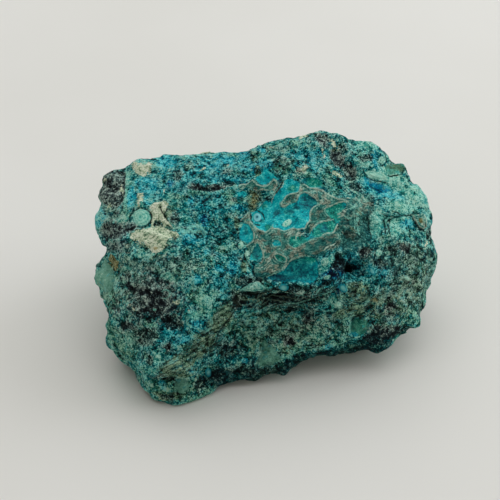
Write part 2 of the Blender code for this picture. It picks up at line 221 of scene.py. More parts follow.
CLAY_PATCHES = filled(Patch, [
    ("crumbs in left end", 120.5, 189, 2.4, 4, 0.75), ("speck in left end", 111, 182, 1, 2.4, 0.7),
    ("streak in left end", 110, 208, 1.4, 4.4, 0.6, 35),
    ("specks above crust", 304, 168, 8, 3.6, 0.55, -35),
    ("vein by summit", 322.5, 153, 1.2, 6, 0.85, -25), ("stroke on lobe", 132, 308.5, 6, 1.2, 1, 38),
    ("specks on lobe", 175, 301.5, 7, 2.4, 0.6), ("speck over swirl", 189.5, 311.5, 2.4, 1.6, 0.7),
    ("edge under shelf", 160, 256, 12, 2, 0.35, -12),
    ("streak on right flank", 427, 243, 1.4, 4.5, 0.8, 38),
    ("streak over shoulder", 404, 242, 8, 1.4, 0.6, 42),
    ("speck under top left", 164.5, 193.5, 1.8, 2.6, 0.8),
    ("stroke on top", 203, 169.5, 3.6, 0.9, 0.9, -30), ("speck on top", 227, 165.5, 2.6, 0.9, 0.8),
    ("fleck left of crust", 240, 260, 2, 2, 0.6),
])
TAN_PATCHES = filled(Patch, [
    ("under clay", 128, 249, 9, 7, 0.6), ("curl at top edge", 277, 149, 9, 2, 0.8, 10),
    ("top edge, tan spot", 268, 148, 3, 3, 0.9), ("above pools", 301, 171, 11, 5, 0.75, -32),
    ("right edge of clay", 174, 238, 5, 4, 0.8), ("beside ochre", 121, 265, 3, 5, 0.9, -10),
    ("web, right", 349, 227, 13, 15, 0.9, 40), ("web, high", 352, 202, 14, 3.6, 0.6),
    ("web, low", 316, 247, 20, 6, 0.95, -14), ("web, low right", 334, 241, 14, 7, 0.9, -40),
    ("web, right end", 363, 204, 9, 9),
])
WEB_GREY_PATCHES = filled(Patch, [
    ("right part of crust", 349, 226, 30, 24, 1, -35),
    ("lower right part of crust", 322, 243, 22, 12, 1, -25),
    ("top of right part", 348, 202, 17, 5, 0.8), ("wedge between pools", 319, 215, 9, 9, 0.75),
    ("curls", 285, 236, 12, 4, 0.7), ("grey by small pool", 284, 245, 5, 5, 0.7),
    ("lower left", 262, 275, 9, 4, 0.6),
])
OCHRE_PATCHES = filled(Patch, [
    ("patch in crust", 254, 198, 5, 11, 0.55, 6), ("in left waist", 112.5, 262, 3.6, 6, 1.4, -20),
    ("in left waist, low", 116, 268, 3.4, 4, 1.1, -25), ("in clay", 155, 248.5, 2.4, 1.8, 0.8),
    ("by crust", 224, 271.5, 1.5, 1.8, 0.9), ("in tan pocket", 421, 220.5, 1.8, 2.2, 0.9),
    ("band under vug", 375, 301, 4, 4, 0.6), ("under right hem", 370, 325, 4, 2, 0.5),
    ("rim of left end", 129, 174, 1.4, 3, 0.4), ("in web", 358, 213, 5, 6, 0.45),
    ("in web, low", 352, 230, 5, 4, 0.5),
])
DEEP_POOL_PATCHES = filled(Patch, [
    # The lower pool's bottom and left rows darken it under the crust's lip as painted shade.
    ("lower pool", 300, 270, 20, 15, 0.75, 22), ("lower pool, bottom", 288, 278, 12, 2.6, 1, 3),
    ("lower pool, left", 281, 277, 13, 4, 1, 3), ("dark cell", 257, 252, 6, 8, 0.75),
    ("speckled cell", 308, 202, 9.5, 7.5), ("below eye", 262, 221, 4, 1.6, 0.9),
    ("middle of bright pool", 289, 211, 6, 4, 0.8), ("bright pool, dark blob", 277, 212, 4, 5, 0.75),
    ("bright pool, edge", 296, 207, 5, 3, 0.7), ("low right pool", 324, 228, 4.5, 4, 0.8),
    ("upper strip, left", 305, 181, 5, 2.6, 0.7), ("blue cell, top", 246, 229, 3, 6, 0.7, -20),
    ("right of loop", 280, 182, 2, 6, 0.8, -10),
])
GREEN_POOL_PATCHES = filled(Patch, [
    ("right pool", 334, 211, 13, 10, 1, 25), ("right pool, low", 325, 229, 15, 8, 1, -28),
    ("upper strip", 312, 183, 12, 5, 1, -3), ("middle pool", 298, 241, 13, 7, 0.9, 8),
    ("rimmed pool", 280, 258, 7, 4, 1, 20), ("dark cell", 256, 252, 7, 10, 0.8),
    ("lower pool, top", 304, 261, 13, 5, 0.95, -10), ("below eye", 268, 228, 4, 4, 0.8),
    ("left of bright pool", 264, 206, 5, 4, 0.6), ("upper right of bright pool", 292, 188, 7, 6, 0.7),
    ("upper strip, right", 313, 186, 6, 2, 0.8),
])
SEA_PATCHES = filled(Patch, [
    ("top", 218, 170, 56, 17, 0.95), ("top, middle", 208, 205, 22, 16, 0.75),
    ("bench", 158, 186, 24, 14, 0.9), ("middle", 196, 236, 18, 10, 0.8),
    ("lobe, right", 222, 284, 10, 20, 0.8, -12), ("lobe, low", 182, 332, 26, 14, 0.9),
    ("left of crust", 236, 262, 9, 14, 0.8), ("under crust", 318, 268, 60, 18),
    ("by summit", 306, 160, 24, 12, 0.9), ("right top", 378, 190, 26, 12, 0.8, 15),
    ("right flank", 380, 268, 22, 12, 0.9),
])
# Lighter places: partly paler rock, partly painted light on faces turned to the overhead lamp, such as the
# top edge, the summit and the right top.
LIT_AND_PALE_PATCHES = filled(Patch, [
    ("left of crust", 187, 206, 9, 7, 0.5), ("lobe, left hem", 130, 360, 8, 7, 0.5),
    ("under left end", 116, 220, 8, 5, 0.7), ("upper strip", 311, 181, 10, 13, 0.6),
    ("rim of left end", 130, 179, 6, 7, 0.6), ("top edge, right", 255, 151, 9, 6, 0.6),
    ("lower crust", 283, 249, 10, 8, 0.6), ("front hem", 340, 346, 9, 5, 0.7),
    ("over right pools", 327, 193, 10, 7, 0.9), ("right end of web", 358, 206, 12, 9, 1.2),
    ("left end, streaked", 115, 208, 9, 8, 0.7), ("column beside left end", 130, 206, 6, 9, 0.8),
    ("over smear", 367, 177, 9, 8, 1.1), ("right of summit", 311, 150, 9, 6, 0.5),
    ("left of loop", 241, 191, 9, 7, 0.5), ("under shelf", 143, 249, 10, 5),
    ("boss", 359, 327, 10, 9, 0.9), ("smear", 376, 185, 13, 5, 0.9, 15), ("right tip", 424, 217, 7, 9, 0.9),
    ("under clay", 128, 258, 10, 9, 0.7), ("bench", 152, 192, 20, 16, 0.45),
    ("top left", 160, 166, 24, 9, 0.8), ("top edge", 222, 161, 24, 8, 0.5),
    ("right top", 384, 180, 23, 16, 0.85, 40), ("right top, outer", 410, 203, 18, 18, 0.8, 45),
    ("cells", 393, 222, 26, 14, 0.4, 10), ("summit", 322, 160, 20, 9, 0.5), ("front", 310, 332, 50, 14, 0.3),
    ("foot", 160, 378, 20, 10, 0.4), ("green cheek", 103, 274, 12, 18), ("left cheek", 100, 218, 7, 15, 1.6),
])
# Painted shade: a darker tone under the crust and the lip, in the gallery, the vug, the brow corner and other
# hollows and undercuts.
SHADE_PATCHES = filled(Patch, [
    ("between pools", 305, 233, 9, 5, 0.5), ("granular over crust", 325, 178, 7, 6, 0.5),
    ("brow corner", 241, 304, 10, 9, 1.2), ("lobe, low", 158, 348, 9, 8, 0.6),
    ("left of vug", 328, 277, 13, 8, 1.4, -20), ("middle of top, low", 188, 256, 16, 10, 0.6, -10),
    ("left of lower pool", 272, 278, 14, 6, 0.8), ("front, dark diagonal", 312, 304, 9, 8, 1.2),
    ("right cell", 410, 235, 8, 6, 0.6), ("pocket in bench", 171, 192, 8, 8, 0.5),
    ("foot notch", 202, 386, 10, 8, 0.5), ("gallery", 276, 293, 38, 6, 0.8, -2),
    ("beside ridge", 238, 322, 7, 16, 0.5, 25), ("front, under gallery", 300, 312, 14, 8, 0.3),
    ("gallery, right", 334, 288, 15, 6, 0.8), ("under crust, left", 256, 281, 18, 5, 1, 5),
    ("foot of lower pool", 285, 282, 16, 4, 0.4), ("middle of top", 212, 237, 16, 10, 0.55),
    ("lobe, right", 207, 292, 10, 8, 0.35), ("blue knob", 383, 276, 9, 9, 0.9),
    ("top, under band", 214, 196, 20, 8, 0.35), ("left of blue cell", 226, 232, 14, 13, 0.6),
    ("lobe", 156, 306, 28, 24, 0.6, 30), ("front", 300, 340, 76, 24, 0.25, -4),
    ("under lip", 275, 302, 44, 10, 0.8), ("under pool", 300, 290, 34, 8, 0.5),
    ("vug", 341, 267, 17, 10, 1.2), ("web", 348, 226, 18, 18, 0.45), ("web, low", 330, 246, 20, 8, 0.4, -25),
    ("deep blue under crust", 318, 284, 26, 5, 0.5, -10), ("right shoulder", 406, 256, 26, 16, 0.35),
    ("front, left", 225, 350, 22, 18, 0.4), ("beside clay", 180, 218, 9, 9, 0.3),
])
# Painted shadow along the fringe under the front's hem.
UNDERSHADE_PATCHES = filled(Patch, [
    ("fringe", 256, 374, 40, 6, 0.9, 3),
])

# Each mineral's patches, and those of the lighter places that are partly painted light (pale), of painted
# shade (shade) and of the painted shadow under the hem (undershade); how much of the far sides each takes up,
# from -1 for none to 1 for all, and how big its spots are there, in mm. Their order sets the noise of each.
MINERALS = {
    "sea": (SEA_PATCHES, -0.05, 14),
    "green": (GREEN_PATCHES, 0.15, 14),
    "soft_green": (SOFT_GREEN_PATCHES, -0.7, 9),
    "grey": (GREY_PATCHES, -0.1, 12),
    "mint": (MINT_PATCHES, -0.45, 8),
    "cyan": (CYAN_PATCHES, -0.5, 10),
    "deep_blue": (DEEP_BLUE_PATCHES, -0.75, 7),
    "olive": (OLIVE_PATCHES, -0.4, 9),
    "dark": (DARK_ROCK_AND_SHADE_PATCHES, -0.25, 9),
    "plum": (PLUM_PATCHES, -0.55, 7),
    "deep_pool": (DEEP_POOL_PATCHES, -1, 8),
    "green_pool": (GREEN_POOL_PATCHES, -1, 8),
    "tan": (TAN_PATCHES, -0.6, 7),
    "web_grey": (WEB_GREY_PATCHES, 0, 7),
    "clay": (CLAY_PATCHES, -0.75, 6),
    "ochre": (OCHRE_PATCHES, -0.85, 4),
    "pale": (LIT_AND_PALE_PATCHES, -2, 8),
    "shade": (SHADE_PATCHES, -2, 8),
    "undershade": (UNDERSHADE_PATCHES, -2, 8),
}

# Where the rock lies in thin layers: everywhere, in the folded ridge, and in the bowed band.
LAYERED_PATCHES = filled(Patch, [
    ("gallery", 275, 302, 48, 9, 0.95, -1), ("gallery, right", 325, 300, 18, 9, 0.6),
    ("ridge over foot, high", 220, 320, 9, 22, 1, 35),
    ("ridge over foot, middle", 202, 345, 12, 22, 1, 48),
    ("ridge over foot, low", 176, 366, 10, 24, 1, 62), ("band under vug", 355, 303, 22, 14, 1, 25),
    ("front", 290, 330, 40, 12, 0.6), ("top left corner", 143, 168, 12, 7, 0.5),
])
RIDGE_PATCHES = [patch for patch in OLIVE_PATCHES if patch.name.startswith("ridge over foot")]
BOWED_PATCHES = [Patch("band under vug", 355, 303, 24, 16, turn=25)]

# Every outline and every line below runs from place to place: across, down, across, down, in picture pixels.

# Glassy pools of the crust.
POOLS = {
    "main pool": [
        276, 192, 279.5, 187.5, 283, 184, 284, 180, 288, 178.5, 293, 179, 299, 181, 301, 184, 299.5, 187.5,
        299.5, 190, 297.5, 192.3, 291, 193.6, 287, 195.5, 284, 198.5, 282, 201, 280.5, 204.5, 283, 207.3,
        286.5, 206.8, 289, 204.5, 293, 203.3, 297, 202.3, 298, 198, 300, 194.8, 303, 193.2, 307, 193.4,
        310.5, 195.6, 314, 198.4, 317, 200.8, 317.5, 204.5, 313, 207.5, 310.8, 210.5, 310, 215, 310.3, 219,
        308.5, 221.8, 305.8, 224.5, 305.5, 227, 301, 228.6, 296.5, 228.5, 291, 228.8, 287, 230.7, 284, 232,
        281, 230.8, 278, 228.8, 274.3, 229, 272.8, 226, 271.8, 228.5, 269, 231.3, 265.5, 232.6, 262, 231,
        259, 230, 256, 227.6, 253, 224.2, 250.3, 220.3, 249.8, 216, 250.5, 212, 255, 210, 259.5, 208.5,
        262, 204, 266, 200, 271, 202.3, 273.5, 197],
    "dark cell": [
        257.5, 242.3, 259.3, 243.5, 260.3, 247, 262.3, 251, 263, 256, 261, 259.6, 255, 260.3, 249.5, 260.5,
        249.3, 256.5, 251.3, 252.5, 254.3, 248],
    "blue cell": [
        241.5, 223.5, 245.5, 222.2, 249, 225, 252, 229, 253.4, 234, 253.3, 239, 250.5, 241.8, 246.5, 243,
        241, 240.5, 238.5, 236.5, 239.8, 231, 242, 228],
    "small pool": [272.5, 240.3, 276, 239.8, 281, 241.5, 282, 245, 279.5, 247, 275, 247.3, 272.8, 244.5],
    "middle pool": [
        289.5, 238.5, 293, 236.5, 299, 235.8, 305, 236.5, 311, 238.5, 309, 241, 303, 243, 299.5, 246,
        295, 247.5, 290.5, 246, 288.5, 242.5],
    "rimmed pool": [275, 254.5, 279, 254.8, 284, 257.2, 286, 259, 284.5, 262.2, 280.5, 261.3, 276, 258.5],
    "right pools": [
        325, 209.3, 330, 207.3, 335, 205.3, 340, 203.3, 346, 203, 347, 207, 343, 211, 341, 215, 341, 219,
        339, 224, 336.5, 227.5, 334, 231.5, 331, 234, 326, 233.6, 321, 236.3, 315, 238.6, 308.5, 238.5,
        309, 234.5, 312, 230, 315, 226.5, 318.5, 223.5, 323, 222, 328.5, 221.4, 332.3, 219.8, 330.5, 217.5,
        327.5, 214.5, 325.3, 212],
    "upper strip": [
        300.5, 180.5, 305, 178, 311, 177.5, 317, 178, 321.5, 180.5, 323, 185, 321, 188, 316, 187.6,
        310, 187.8, 306.8, 185.6, 303.5, 183.5],
    "above loop": [
        255, 178.5, 257.5, 182.5, 262, 184.6, 267, 184.3, 270.6, 182, 272.5, 178.6, 275, 177.7, 278.5, 181,
        280, 184.5, 282, 182, 281, 178.5, 276, 175, 271, 173, 268, 168, 264.5, 166, 262.5, 170, 259.5, 175],
    "lower pool": [
        286, 267, 289, 263.5, 293, 260, 300, 257.7, 306, 256.3, 312, 257, 317, 259.3, 318.3, 264, 317.2, 270,
        319.5, 274, 316.5, 279, 312.5, 284, 306, 283, 300, 281.3, 290, 281.3, 282, 281.3, 276, 280.3,
        268, 279.6, 266, 276.8, 275, 274.3, 282.5, 271.3],
    "left of loop": [236.5, 192, 241, 190.3, 246, 191.2, 247, 194.5, 244, 197.3, 238.5, 196.5],
}

# Tan crust round and between the pools.
CRUSTS = {
    "loop": [
        237.6, 187, 239.5, 184.5, 243, 184.3, 247, 184.8, 250, 182.5, 253, 180, 254.5, 181.5, 256, 184,
        259.5, 186, 264, 186.6, 268, 185.8, 271.5, 183, 273.5, 179.6, 276.5, 181, 278, 184, 277.5, 187,
        274.5, 190.3, 270, 191.6, 266, 190.8, 262, 189.8, 258, 191.5, 254.5, 190, 250.5, 187.6, 246, 187.4,
        242.5, 189, 239, 189],
    "left and lower": [
        241.5, 219.8, 245.5, 215.5, 248.8, 212.8, 250, 214.5, 249.6, 216.5, 250.2, 220.5, 253, 224.3,
        256, 227.7, 259, 230.1, 262, 231.1, 265.5, 232.7, 269, 231.4, 272, 228.5, 272.6, 225.5, 274.3, 229.1,
        278, 228.9, 281, 230.9, 284, 232.1, 287, 230.8, 291, 229, 296.5, 228.7, 300, 230.5, 301, 234,
        298, 235.5, 293, 236.2, 289.3, 238.2, 288.2, 242.5, 290.3, 246.2, 295, 247.7, 299.7, 246.3,
        303.3, 243.3, 309, 241.3, 315, 239.5, 321, 237.5, 326, 235, 331, 235.2, 334, 233, 337, 236, 335, 241,
        331, 245, 327, 249, 321, 252.5, 314, 254.5, 306, 255.2, 299, 257.3, 293, 258.8, 288.5, 262.5,
        285, 267.5, 281, 271, 274.5, 273.8, 266, 276.2, 262, 279.5, 257, 278.5, 254.5, 274, 253.8, 268,
        257, 264, 262, 261.5, 264, 257, 263.5, 251, 261.5, 246.5, 259.8, 243, 257.3, 241.8, 254, 247.5,
        251, 252, 249.5, 249.5, 247, 247.5, 249.5, 244, 253.5, 241, 254.2, 236, 253.3, 231, 250, 226,
        247, 222.8, 244, 222],
    "round slit and over arch": [
        281, 205, 282, 201.3, 284, 198.7, 287, 195.8, 291, 193.9, 297.5, 192.5, 299.7, 190.3, 299.7, 187.5,
        301.5, 185, 304, 184.2, 306.8, 186.2, 309, 188.6, 314, 188.9, 318, 188.3, 322, 190, 326.5, 192.8,
        330, 195.3, 335, 198, 341, 199.8, 347, 198.8, 347, 202.8, 340, 203, 335, 205, 330, 207, 325.3, 209,
        325, 212, 327.5, 214.8, 330.5, 217.7, 332, 219.7, 328.5, 221.2, 323, 221.8, 318.3, 223.3, 315, 226.3,
        312, 229.8, 309.5, 232, 305.5, 231, 301.5, 229, 305.6, 227.2, 306, 224.6, 308.7, 222, 310.5, 219,
        310.2, 215, 311, 210.6, 313.3, 207.7, 317.7, 204.6, 317.2, 200.6, 314, 198.2, 310.5, 195.4,
        307, 193.2, 303, 193, 300, 194.6, 298, 197.8, 297, 202.1, 293, 203.1, 289, 204.3, 286.5, 206.6,
        283, 207.1],
    "tan pocket": [
        412.5, 216, 416, 215, 421, 214.3, 424.5, 216, 427, 222, 427.5, 228, 424.5, 229, 419.5, 227.5,
        416.5, 224, 414.5, 220],
}


class Area(NamedTuple):
    """An area of one mineral with a clear border; the holes, the vug and the shadow under the hem are painted
    shade.
    """

    mineral: str
    name: str
    outline: list


AREAS = filled(Area, [
    ("clay", "shelf", [
        130, 237, 133.5, 233, 137, 230.3, 141, 229, 147, 228.5, 152, 227.5, 155, 226.5, 161, 226,
        164.5, 227.5, 169, 230, 174, 232, 178, 233.5, 178, 238.5, 172, 237.5, 167, 239, 165.5, 242,
        166.5, 246, 163, 249, 159, 252.5, 154.5, 253.5, 151.5, 251.5, 150, 248, 146.5, 247, 144, 243,
        139.5, 242.5, 135, 240.5, 131.5, 239.8]),
    ("clay", "branch", [
        148.5, 206.5, 152, 205, 158, 202.5, 163.5, 200.5, 168, 203, 168.5, 207, 164.5, 210, 163, 214,
        164, 218, 168, 221.5, 173, 225, 171, 226.3, 167, 225, 164.5, 227.5, 162.3, 224.5, 161.5, 220.5,
        156, 220, 154.5, 224, 153.5, 228, 150.5, 227, 151.5, 222, 152, 215, 150.5, 210]),
    ("clay", "finger", [
        136.3, 192.5, 139, 194.3, 142.8, 193, 142, 196.5, 143.5, 200, 141, 202, 140.5, 207.5, 138, 206,
        137.3, 199]),
    ("clay", "top left corner", [
        133, 167, 136.5, 164.5, 141, 166.5, 146, 167.5, 149, 165, 152.5, 165, 152, 169, 150.5, 172, 146, 174,
        140.5, 175, 137, 173.5, 134, 170.5]),
    ("clay", "white streak", [
        331, 171.6, 334, 171.4, 338, 174.2, 342.5, 175.8, 341, 177.8, 336, 176.6, 332, 175]),
    ("clay", "white vein", [
        329.5, 138, 332.5, 138.5, 335, 143, 338.5, 149.5, 336.5, 150.5, 333, 146, 331, 141.5]),
    ("clay", "rim of summit", [299, 138, 304, 134.5, 310, 131.5, 313, 132.5, 307, 136.5, 301, 139.5]),
    ("plum", "left end face", [
        103, 200, 103.5, 186, 108, 176, 114, 171, 122, 169.5, 125.5, 172, 125.5, 185, 125, 199, 121, 206,
        113, 209, 105, 206]),
    # The holes and the vug below are painted dark as painted shade.
    ("dark", "hole in clay", [155, 220.5, 161, 219.8, 162, 224.5, 158.5, 226, 154.3, 225]),
    ("dark", "hole by clay", [166.5, 225.3, 172.5, 226, 173, 228.6, 168.5, 229, 166, 227.5]),
    ("deep_blue", "smear", [
        362.5, 176.5, 368, 180.5, 375, 182.8, 382, 184.3, 389, 185.5, 392, 188.5, 387, 191.5, 380, 191.8,
        373, 189.5, 367, 185]),
    ("mint", "rim of vug", [
        316, 272, 319, 268, 322, 263, 326, 258.5, 331, 256, 336, 254.5, 337, 257.5, 333, 262, 329, 267,
        324, 271, 319, 274]),
    ("olive", "patch in crust", [
        249, 187, 254, 186.3, 258, 189, 261, 193, 260, 199, 258, 205, 254, 209.5, 250, 208, 248.5, 202,
        249, 194]),
    ("mint", "left oval", [
        133, 212, 137, 209, 141, 208.2, 146, 210, 149.6, 213.6, 151, 218, 149.2, 221.7, 145.7, 224.5,
        141, 226, 137, 225.6, 134, 222, 132.5, 217]),
    ("mint", "right oval", [
        364.5, 171.5, 370, 170.5, 377, 171.3, 383, 173, 387, 177, 386, 180.5, 381, 180.5, 374, 179,
        368, 176]),
    ("soft_green", "green cheek", [
        105, 257, 109, 259, 112, 268, 115, 275, 115, 284, 112, 292, 104, 292, 97, 287, 94, 280, 95, 270,
        100, 262]),
    ("soft_green", "front, smooth", [
        261.5, 341, 266, 341, 272, 346, 277, 352, 281, 356, 280, 361, 273, 365, 264, 367, 258, 366, 256, 361,
        259.5, 356, 262, 351]),
    ("soft_green", "foot, smooth", [
        176, 379, 181, 377.5, 187, 379, 190, 385, 189, 391, 183, 394, 177, 392, 174, 386]),
    ("olive", "knob on right shoulder", [
        384.5, 169, 387.5, 164.5, 393, 162.5, 398.5, 161.5, 404, 166, 405, 170, 401, 173, 394, 174.3,
        388.5, 173.2]),
    ("green", "boss", [
        349.5, 331, 349.5, 324, 353, 319, 359, 317, 366, 319, 370, 324, 369, 330, 364, 335, 357, 338,
        352, 336]),
    ("dark", "vug", [
        338.5, 251.5, 342, 256, 347, 261, 353, 266, 354, 271, 347, 273, 340, 271.5, 333, 269, 328, 270.5,
        331.5, 264.5, 335, 258]),
    # Painted shadow under the front's hem and the right hem's underside.
    ("undershade", "under hem", [
        205, 372, 222, 367.5, 236, 368.5, 250, 367.5, 262, 368, 272, 365.5, 282, 363, 292, 360.2, 300, 358,
        310, 355.5, 322, 355, 334, 353.6, 345, 351, 352, 346.5, 360, 340.3, 367, 333.6, 374, 331, 386, 332.5,
        398, 331.5, 414, 328, 414, 352, 380, 358, 350, 374, 300, 388, 250, 390, 205, 388]),
])

# Where a skin of smooth mineral lies over the grains.
SMOOTH_AREAS = (
    "green cheek", "front, smooth", "foot, smooth", "knob on right shoulder",
    "left oval", "right oval", "smear", "boss",
)

# Minerals that lie in bands, one inside another.
BANDED = {
    **{area.name: area.outline for area in AREAS if area.name in ("left oval", "right oval")},
    "leaf under lip": [
        240, 289.5, 245, 286.3, 252, 282.6, 258, 281.8, 262, 285, 266, 288.5, 262, 291.5, 254, 292,
        246, 291.2],
    "ring by vug": [320, 261.5, 322, 258, 326, 257.3, 328.6, 260, 328, 264, 324.5, 266, 321, 264.8],
    "green nodule": [378, 160, 380, 157, 384, 157, 386, 160, 384.5, 163.2, 380, 163.5],
}


class Line(NamedTuple):
    """A thin line on the show side. Its width is in picture pixels."""

    name: str
    width: float
    run: list


CREAM_LINES = filled(Line, [
    ("loop", 1.3, [
        237.8, 187, 239.5, 184.6, 243, 184.2, 247, 184.6, 250, 182.3, 253, 180, 256, 184, 260, 186,
        265, 186.3, 269, 185, 272, 182, 274, 179.4, 277.5, 182, 277.5, 186.5, 274.5, 190, 270, 191.3,
        266, 190.3, 262, 188.8, 258.5, 191]),
    ("left arm", 1.5, [241.5, 219.5, 245.5, 215.3, 249, 212.5]),
    ("left of eye", 1.5, [
        249.6, 215, 250.2, 220.5, 253, 224.3, 256, 227.7, 259, 230.1, 262, 231.1, 264.5, 231.8]),
    ("below eye", 1.5, [266, 233, 269, 231.4, 272, 228.3, 272.6, 225.2]),
    ("under main pool", 1.4, [
        273.5, 229.5, 278, 228.9, 281, 230.9, 284, 232.3, 287, 230.8, 291, 229, 295, 228.8]),
    ("right of blue cell", 1.4, [254, 233, 254.6, 238, 253, 243, 250, 244, 247, 246]),
    ("over slit", 1.3, [
        281, 205, 282, 201.3, 284, 198.7, 287, 195.8, 291, 193.9, 297.5, 192.5, 299.7, 190.3, 299.7, 187.5,
        301.5, 185]),
    ("under slit", 1.6, [280.5, 204, 283, 206.8, 286.5, 206.2, 289, 204]),
    ("over arch", 1.4, [
        304, 184.4, 306.8, 186.4, 309, 188.6, 314, 189.1, 318, 188.5, 322, 190, 326.5, 192.8, 330, 195.3,
        335, 198, 341, 199.8, 345, 197.8, 350, 198.2, 356, 199, 361, 199.2, 366, 199.2, 368.3, 196,
        370.5, 193.8, 373.5, 194]),
    ("arch", 1.3, [
        298, 197.8, 300, 194.6, 303, 193, 307, 193.2, 310.5, 195.4, 314, 198.2, 318, 200.5, 321.5, 200.5]),
    ("left of wedge", 1.5, [
        322.5, 201, 320.5, 204, 316.5, 206, 313, 207.7, 311, 210.6, 310.2, 215, 310.5, 219, 308.7, 222,
        306, 224.6, 306.5, 227, 303, 228.5, 299, 229.5]),
    ("over right pool", 1.3, [325, 208.8, 330, 206.8, 335, 204.8, 340, 202.6, 347, 202.3]),
    ("under wedge", 1.3, [332, 219.7, 328.5, 221.2, 323, 221.8, 318.3, 223.3, 315, 226.3, 312, 229.8]),
    ("under right pools", 1.5, [337.5, 225, 335.5, 229, 332.5, 233.5, 328, 233.2, 326, 234.2, 323, 235]),
    ("curl", 1.5, [288, 235, 289.3, 232.5, 292.5, 230.8, 296, 231.3]),
    ("second curl", 1.6, [290, 236.5, 291.3, 234, 294, 233, 296.5, 234.5, 296, 237]),
    ("third curl", 1.5, [297.5, 230, 298.5, 233.5, 301.5, 235, 303.5, 233]),
    ("dimple in web", 1.7, [344, 211, 344.5, 216, 348.5, 219.3, 352.5, 217, 353.5, 212]),
    ("finger in web", 1.5, [339.5, 213.3, 345, 211.8]),
    ("second finger in web", 1.5, [339.5, 216.6, 344, 215.6]),
    ("top of web", 1.7, [357, 204, 354, 207.5, 350, 209.5]),
    ("ribs of web", 1.3, [358, 211, 357.5, 220, 357.3, 229, 359, 234]),
    ("second rib", 1.2, [354, 214, 355, 222, 354.3, 230]),
    ("under grey web", 1.4, [324.5, 250, 329, 247, 334, 244.5]),
    ("round dark cell", 1.3, [258, 241.5, 261, 246.5, 263.7, 252, 264, 258]),
    ("round rimmed pool", 1.2, [
        273, 256, 275, 253.5, 279.5, 253.8, 285, 256.5, 287.3, 259, 285.5, 263.5, 283, 267]),
    ("over lower pool", 1.5, [284.5, 268, 288.5, 263, 293, 258.8, 299, 257.3]),
    ("fold in crust", 1.5, [257.4, 268.6, 261.5, 267.8, 265.7, 265, 269.5, 261.5, 271, 257.5]),
    ("second fold", 1.5, [266.5, 269.5, 269, 266.5, 273, 264.5]),
    ("white stroke, upper", 2.8, [187.5, 229.5, 191, 226.6, 195, 226, 199, 227.4, 202, 230, 205, 232]),
    ("white stroke, lower", 2.6, [183, 234.5, 186.5, 232.3, 191, 231, 196, 232.6, 201, 231.4, 204.5, 235]),
    ("curl on front", 2.0, [
        247, 324, 249.5, 321, 254, 320, 258, 322, 259, 326, 262, 329, 265, 332.5, 261.5, 332.8]),
    ("curl on front, low", 2.0, [258.5, 328.5, 257, 331, 258, 334.5, 261, 336.8, 263.5, 334.5]),
    ("second curl on front", 1.9, [281, 320, 277.3, 322.6, 276, 326, 279, 329, 283, 328]),
    ("left edge of main pool", 1.0, [
        283.5, 182, 283, 186, 279.5, 188.5, 275.5, 192.5, 273, 198, 271.5, 202]),
    ("swirl on lobe", 2.6, [190, 316, 187, 319.5, 187, 323.5, 190, 326]),
    ("second swirl on lobe", 2.8, [199, 329.5, 203, 332.3, 208, 330.3, 212, 325, 211, 318]),
    ("rim of left end", 2.0, [127, 171, 126.5, 182, 125.5, 192, 125, 202, 124, 210]),
    ("stroke over swirl", 1.8, [200, 311.5, 197, 314, 194.3, 317.5]),
    ("second stroke over swirl", 1.6, [201, 315.3, 196.5, 319.5]),
    ("ring on lobe", 1.3, [163, 291, 166.5, 289, 169.5, 292, 169.5, 296, 166, 298.5, 162.5, 297]),
    ("curl on lobe", 1.5, [160, 278, 162.5, 274.5, 167, 272.3, 172, 273.5, 169, 277]),
    ("leaf under lip, top", 1.2, [
        239.5, 291.5, 245, 286.3, 252, 282.3, 258, 281.3, 262, 285, 266.5, 288.2]),
    ("leaf under lip, foot", 1.0, [240, 289.7, 247, 291.8, 254, 292.6, 262, 292]),
    ("gallery", 1.2, [283, 304.8, 290, 303.2, 298, 303.6, 306, 300.3, 312, 299]),
    ("streak under vug", 1.6, [316.5, 292.5, 319, 289.5, 324, 286.5]),
    ("second streak under vug", 1.2, [316, 297, 323, 294, 331, 290.5]),
    ("edge of pocket", 1.6, [347.3, 286, 347.6, 291]),
    ("band under vug", 1.4, [340, 317, 346, 314.5, 352, 312.5]),
    ("second band under vug", 1.3, [343, 320, 349, 317, 354, 314.5]),
    ("cell, pale rim", 1.1, [385, 220.5, 387.2, 226, 388, 233]),
    ("over cells", 1.1, [384.5, 220.5, 390, 217.3, 395, 215, 400, 214.2]),
    ("right cell, rim", 1.2, [391, 235, 390.6, 224, 392, 220.8, 398, 219, 404, 217.6]),
    ("pocket at cell, left", 1.3, [371, 230.5, 371.3, 235.3]),
    ("pocket at cell, right", 1.5, [374, 230.3, 377, 231, 377.8, 234.5]),
    ("tan pocket", 1.3, [412.8, 216, 416, 222.5, 420, 227.5, 424.5, 229]),
    ("tan pocket, right", 1.2, [423.5, 215, 425.5, 220, 427, 226]),
    ("curl at top edge", 1.2, [
        266, 144.5, 269, 147.5, 272, 151, 277, 150.5, 281, 148.5, 285, 151, 291, 155]),
    ("over spot", 1.2, [357.5, 155.5, 362, 152.2, 368, 151.3, 373, 153.5]),
    ("hem", 1.4, [281, 358, 292, 356.5, 304, 353, 316, 351.3, 330, 349.5, 342, 346, 351, 340]),
    ("hem of boss", 1.4, [350.3, 322, 349.5, 330, 352, 337.5]),
])

